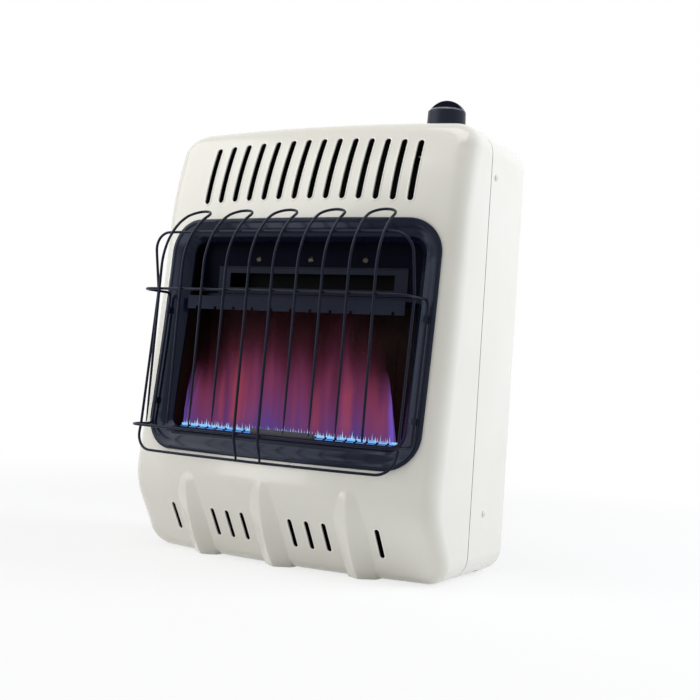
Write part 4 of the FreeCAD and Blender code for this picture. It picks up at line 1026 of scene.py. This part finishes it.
for side in (-1, 1):
    for i in range(dash_count):
        x = side * (centre_half + dash_start + i * dash_pitch)
        for y, z in dash_rows:
            tongues.append(copy_of(dash, Matrix.Translation((x, y, z))))
flames = settle(join(tongues, "tongues"), "flame_tongues", "casing", tongue_glow)
bpy.data.objects.remove(spike)
bpy.data.objects.remove(dash)
print(flames.name, len(tongues), "tongues,", len(flames.data.polygons), "faces")

# %% [markdown]
# The stage is a wide white sheet of paper that ends in a white sky. Near the heater the paper is
# lit like anything else, so it keeps the heater's shadow, and further out it turns to plain white
# by its distance from the middle. The white is seen by the camera and in reflections, and adds no
# light of its own to the heater. Under the casing the paper stays dark, so that no white shows
# through the vents in its floor.

# %% floor
floor_size, floor_drop = 30, 0.0005
floor_near, floor_far, floor_white_near = 0.45, 1.5, 0.74
paper_grey, paper_rough = (0.9, 0.9, 0.9, 1), 0.9
under_x, under_half_x, under_y, under_half_y = 0.0, 0.20, -0.08, 0.065
white = (1, 1, 1, 1)


def seen_rays(tree):
    """One for camera, glossy and transmission rays, nothing for the rest."""
    rays = add_node(tree, "LightPath", {}).outputs
    either = sums(tree, "MAXIMUM", rays["Is Camera Ray"], rays["Is Glossy Ray"])
    return sums(tree, "MAXIMUM", either, rays["Is Transmission Ray"])


bpy.ops.mesh.primitive_plane_add(size=floor_size, location=(0, 0, 0))
floor = bpy.context.object
edit_all()
bpy.ops.transform.translate(value=(0, 0, -floor_drop))
edit_done()
floor.name = "floor"
paper, tree, shader = new_material("paper_floor")
feed(tree, shader, {"Base Color": paper_grey, "Roughness": paper_rough})
place, axes = object_place(tree)
reach = add_node(tree, "VectorMath", {0: place}, operation="LENGTH").outputs["Value"]
far = span(tree, reach, floor_near, floor_far, floor_white_near, interpolation_type="SMOOTHSTEP")
seen = sums(tree, "MULTIPLY", seen_rays(tree), far)
inside_x = sums(tree, "COMPARE", axes["X"], under_x, under_half_x)
inside_y = sums(tree, "COMPARE", axes["Y"], under_y, under_half_y)
footprint = sums(tree, "MULTIPLY", inside_x, inside_y)
share = sums(tree, "SUBTRACT", seen, footprint, use_clamp=True)
glow = add_node(tree, "Emission", {"Color": white}).outputs["Emission"]
blend = add_node(tree, "MixShader", {0: share, 1: shader.outputs["BSDF"], 2: glow})
feed(tree, tree.nodes["Material Output"], {"Surface": blend.outputs["Shader"]})
floor.data.materials.append(paper)
print("floor white from", floor_far, "m outwards")

# %% [markdown]
# The light follows a product photograph. A large soft lamp at the upper left of the front makes
# the chin's ridges bright on one flank and dark on the other, and a smaller one low on the left
# lifts the chin. A cool lamp beyond the right side makes that side the palest. It is kept out of
# reflections, where it would wash the side out. The last lamp lights the top, and the sky fills in
# the rest.

# %% sky and lamps
sky_light = 0.26
world = bpy.data.worlds.new("studio")
bpy.context.scene.world = world
world.use_nodes = True
tree = world.node_tree
level = span(tree, seen_rays(tree), 0.0, 1.0, sky_light, 1.0)
feed(tree, tree.nodes["Background"], {"Color": white, "Strength": level})


def lamp(name, place, target, size, power):
    """Large soft square lamp aimed at a point."""
    bpy.ops.object.light_add(type="AREA", location=place)
    made = bpy.context.object
    made.name = name
    made.data.shape = "SQUARE"
    made.data.size = size
    made.data.energy = power
    made.rotation_euler = (Vector(target) - Vector(place)).to_track_quat("-Z", "Y").to_euler()
    return made


aim = (0, -0.15, 0.33)
key_lamp = lamp("key_lamp", (-1.25, -1.15, 1.25), aim, 1.6, 14.5)
strip_lamp = lamp("strip_lamp", (-1.2, -2.1, 0.15), aim, 0.9, 6.5)
side_lamp = lamp("side_lamp", (1.7, 0.8, 1.25), aim, 1.4, 37)
top_lamp = lamp("top_lamp", (0.1, -0.7, 2.2), aim, 1.2, 13)
side_lamp.visible_glossy = False
side_lamp.data.color = (0.88, 0.92, 1.0)
print("lamps:", *(made.name for made in (key_lamp, strip_lamp, side_lamp, top_lamp)))

# %% [markdown]
# The camera stands to the right of the front, a little below the middle of the heater, looks
# slightly up and is rolled a few degrees. Its place came from fitting the photograph's straight
# edges and hole spacings.

# %% camera
camera_place = Vector((0.7881, -1.4769, 0.2531))
camera_turn = math.radians(28.8)
camera_pitch = math.radians(1.31)
camera_roll = math.radians(3.74)
lens_mm, sensor_mm, sight_m = 58.66, 36, 60
level_ahead = Vector((-math.sin(camera_turn), math.cos(camera_turn), 0)) * math.cos(camera_pitch)
ahead = level_ahead + Vector((0, 0, math.sin(camera_pitch)))
right = Vector((math.cos(camera_turn), math.sin(camera_turn), 0))
up = right.cross(ahead)
rolled_right = right * math.cos(camera_roll) + up * math.sin(camera_roll)
rolled_up = up * math.cos(camera_roll) - right * math.sin(camera_roll)
turned = Matrix((rolled_right, rolled_up, -ahead)).transposed()
bpy.ops.object.camera_add(location=camera_place, rotation=turned.to_euler())
camera = bpy.context.object
camera.data.lens = lens_mm
camera.data.sensor_width = sensor_mm
camera.data.clip_end = sight_m
bpy.context.scene.camera = camera
bpy.context.scene.view_settings.view_transform = "Standard"
print("camera at", tuple(round(c, 3) for c in camera.location))
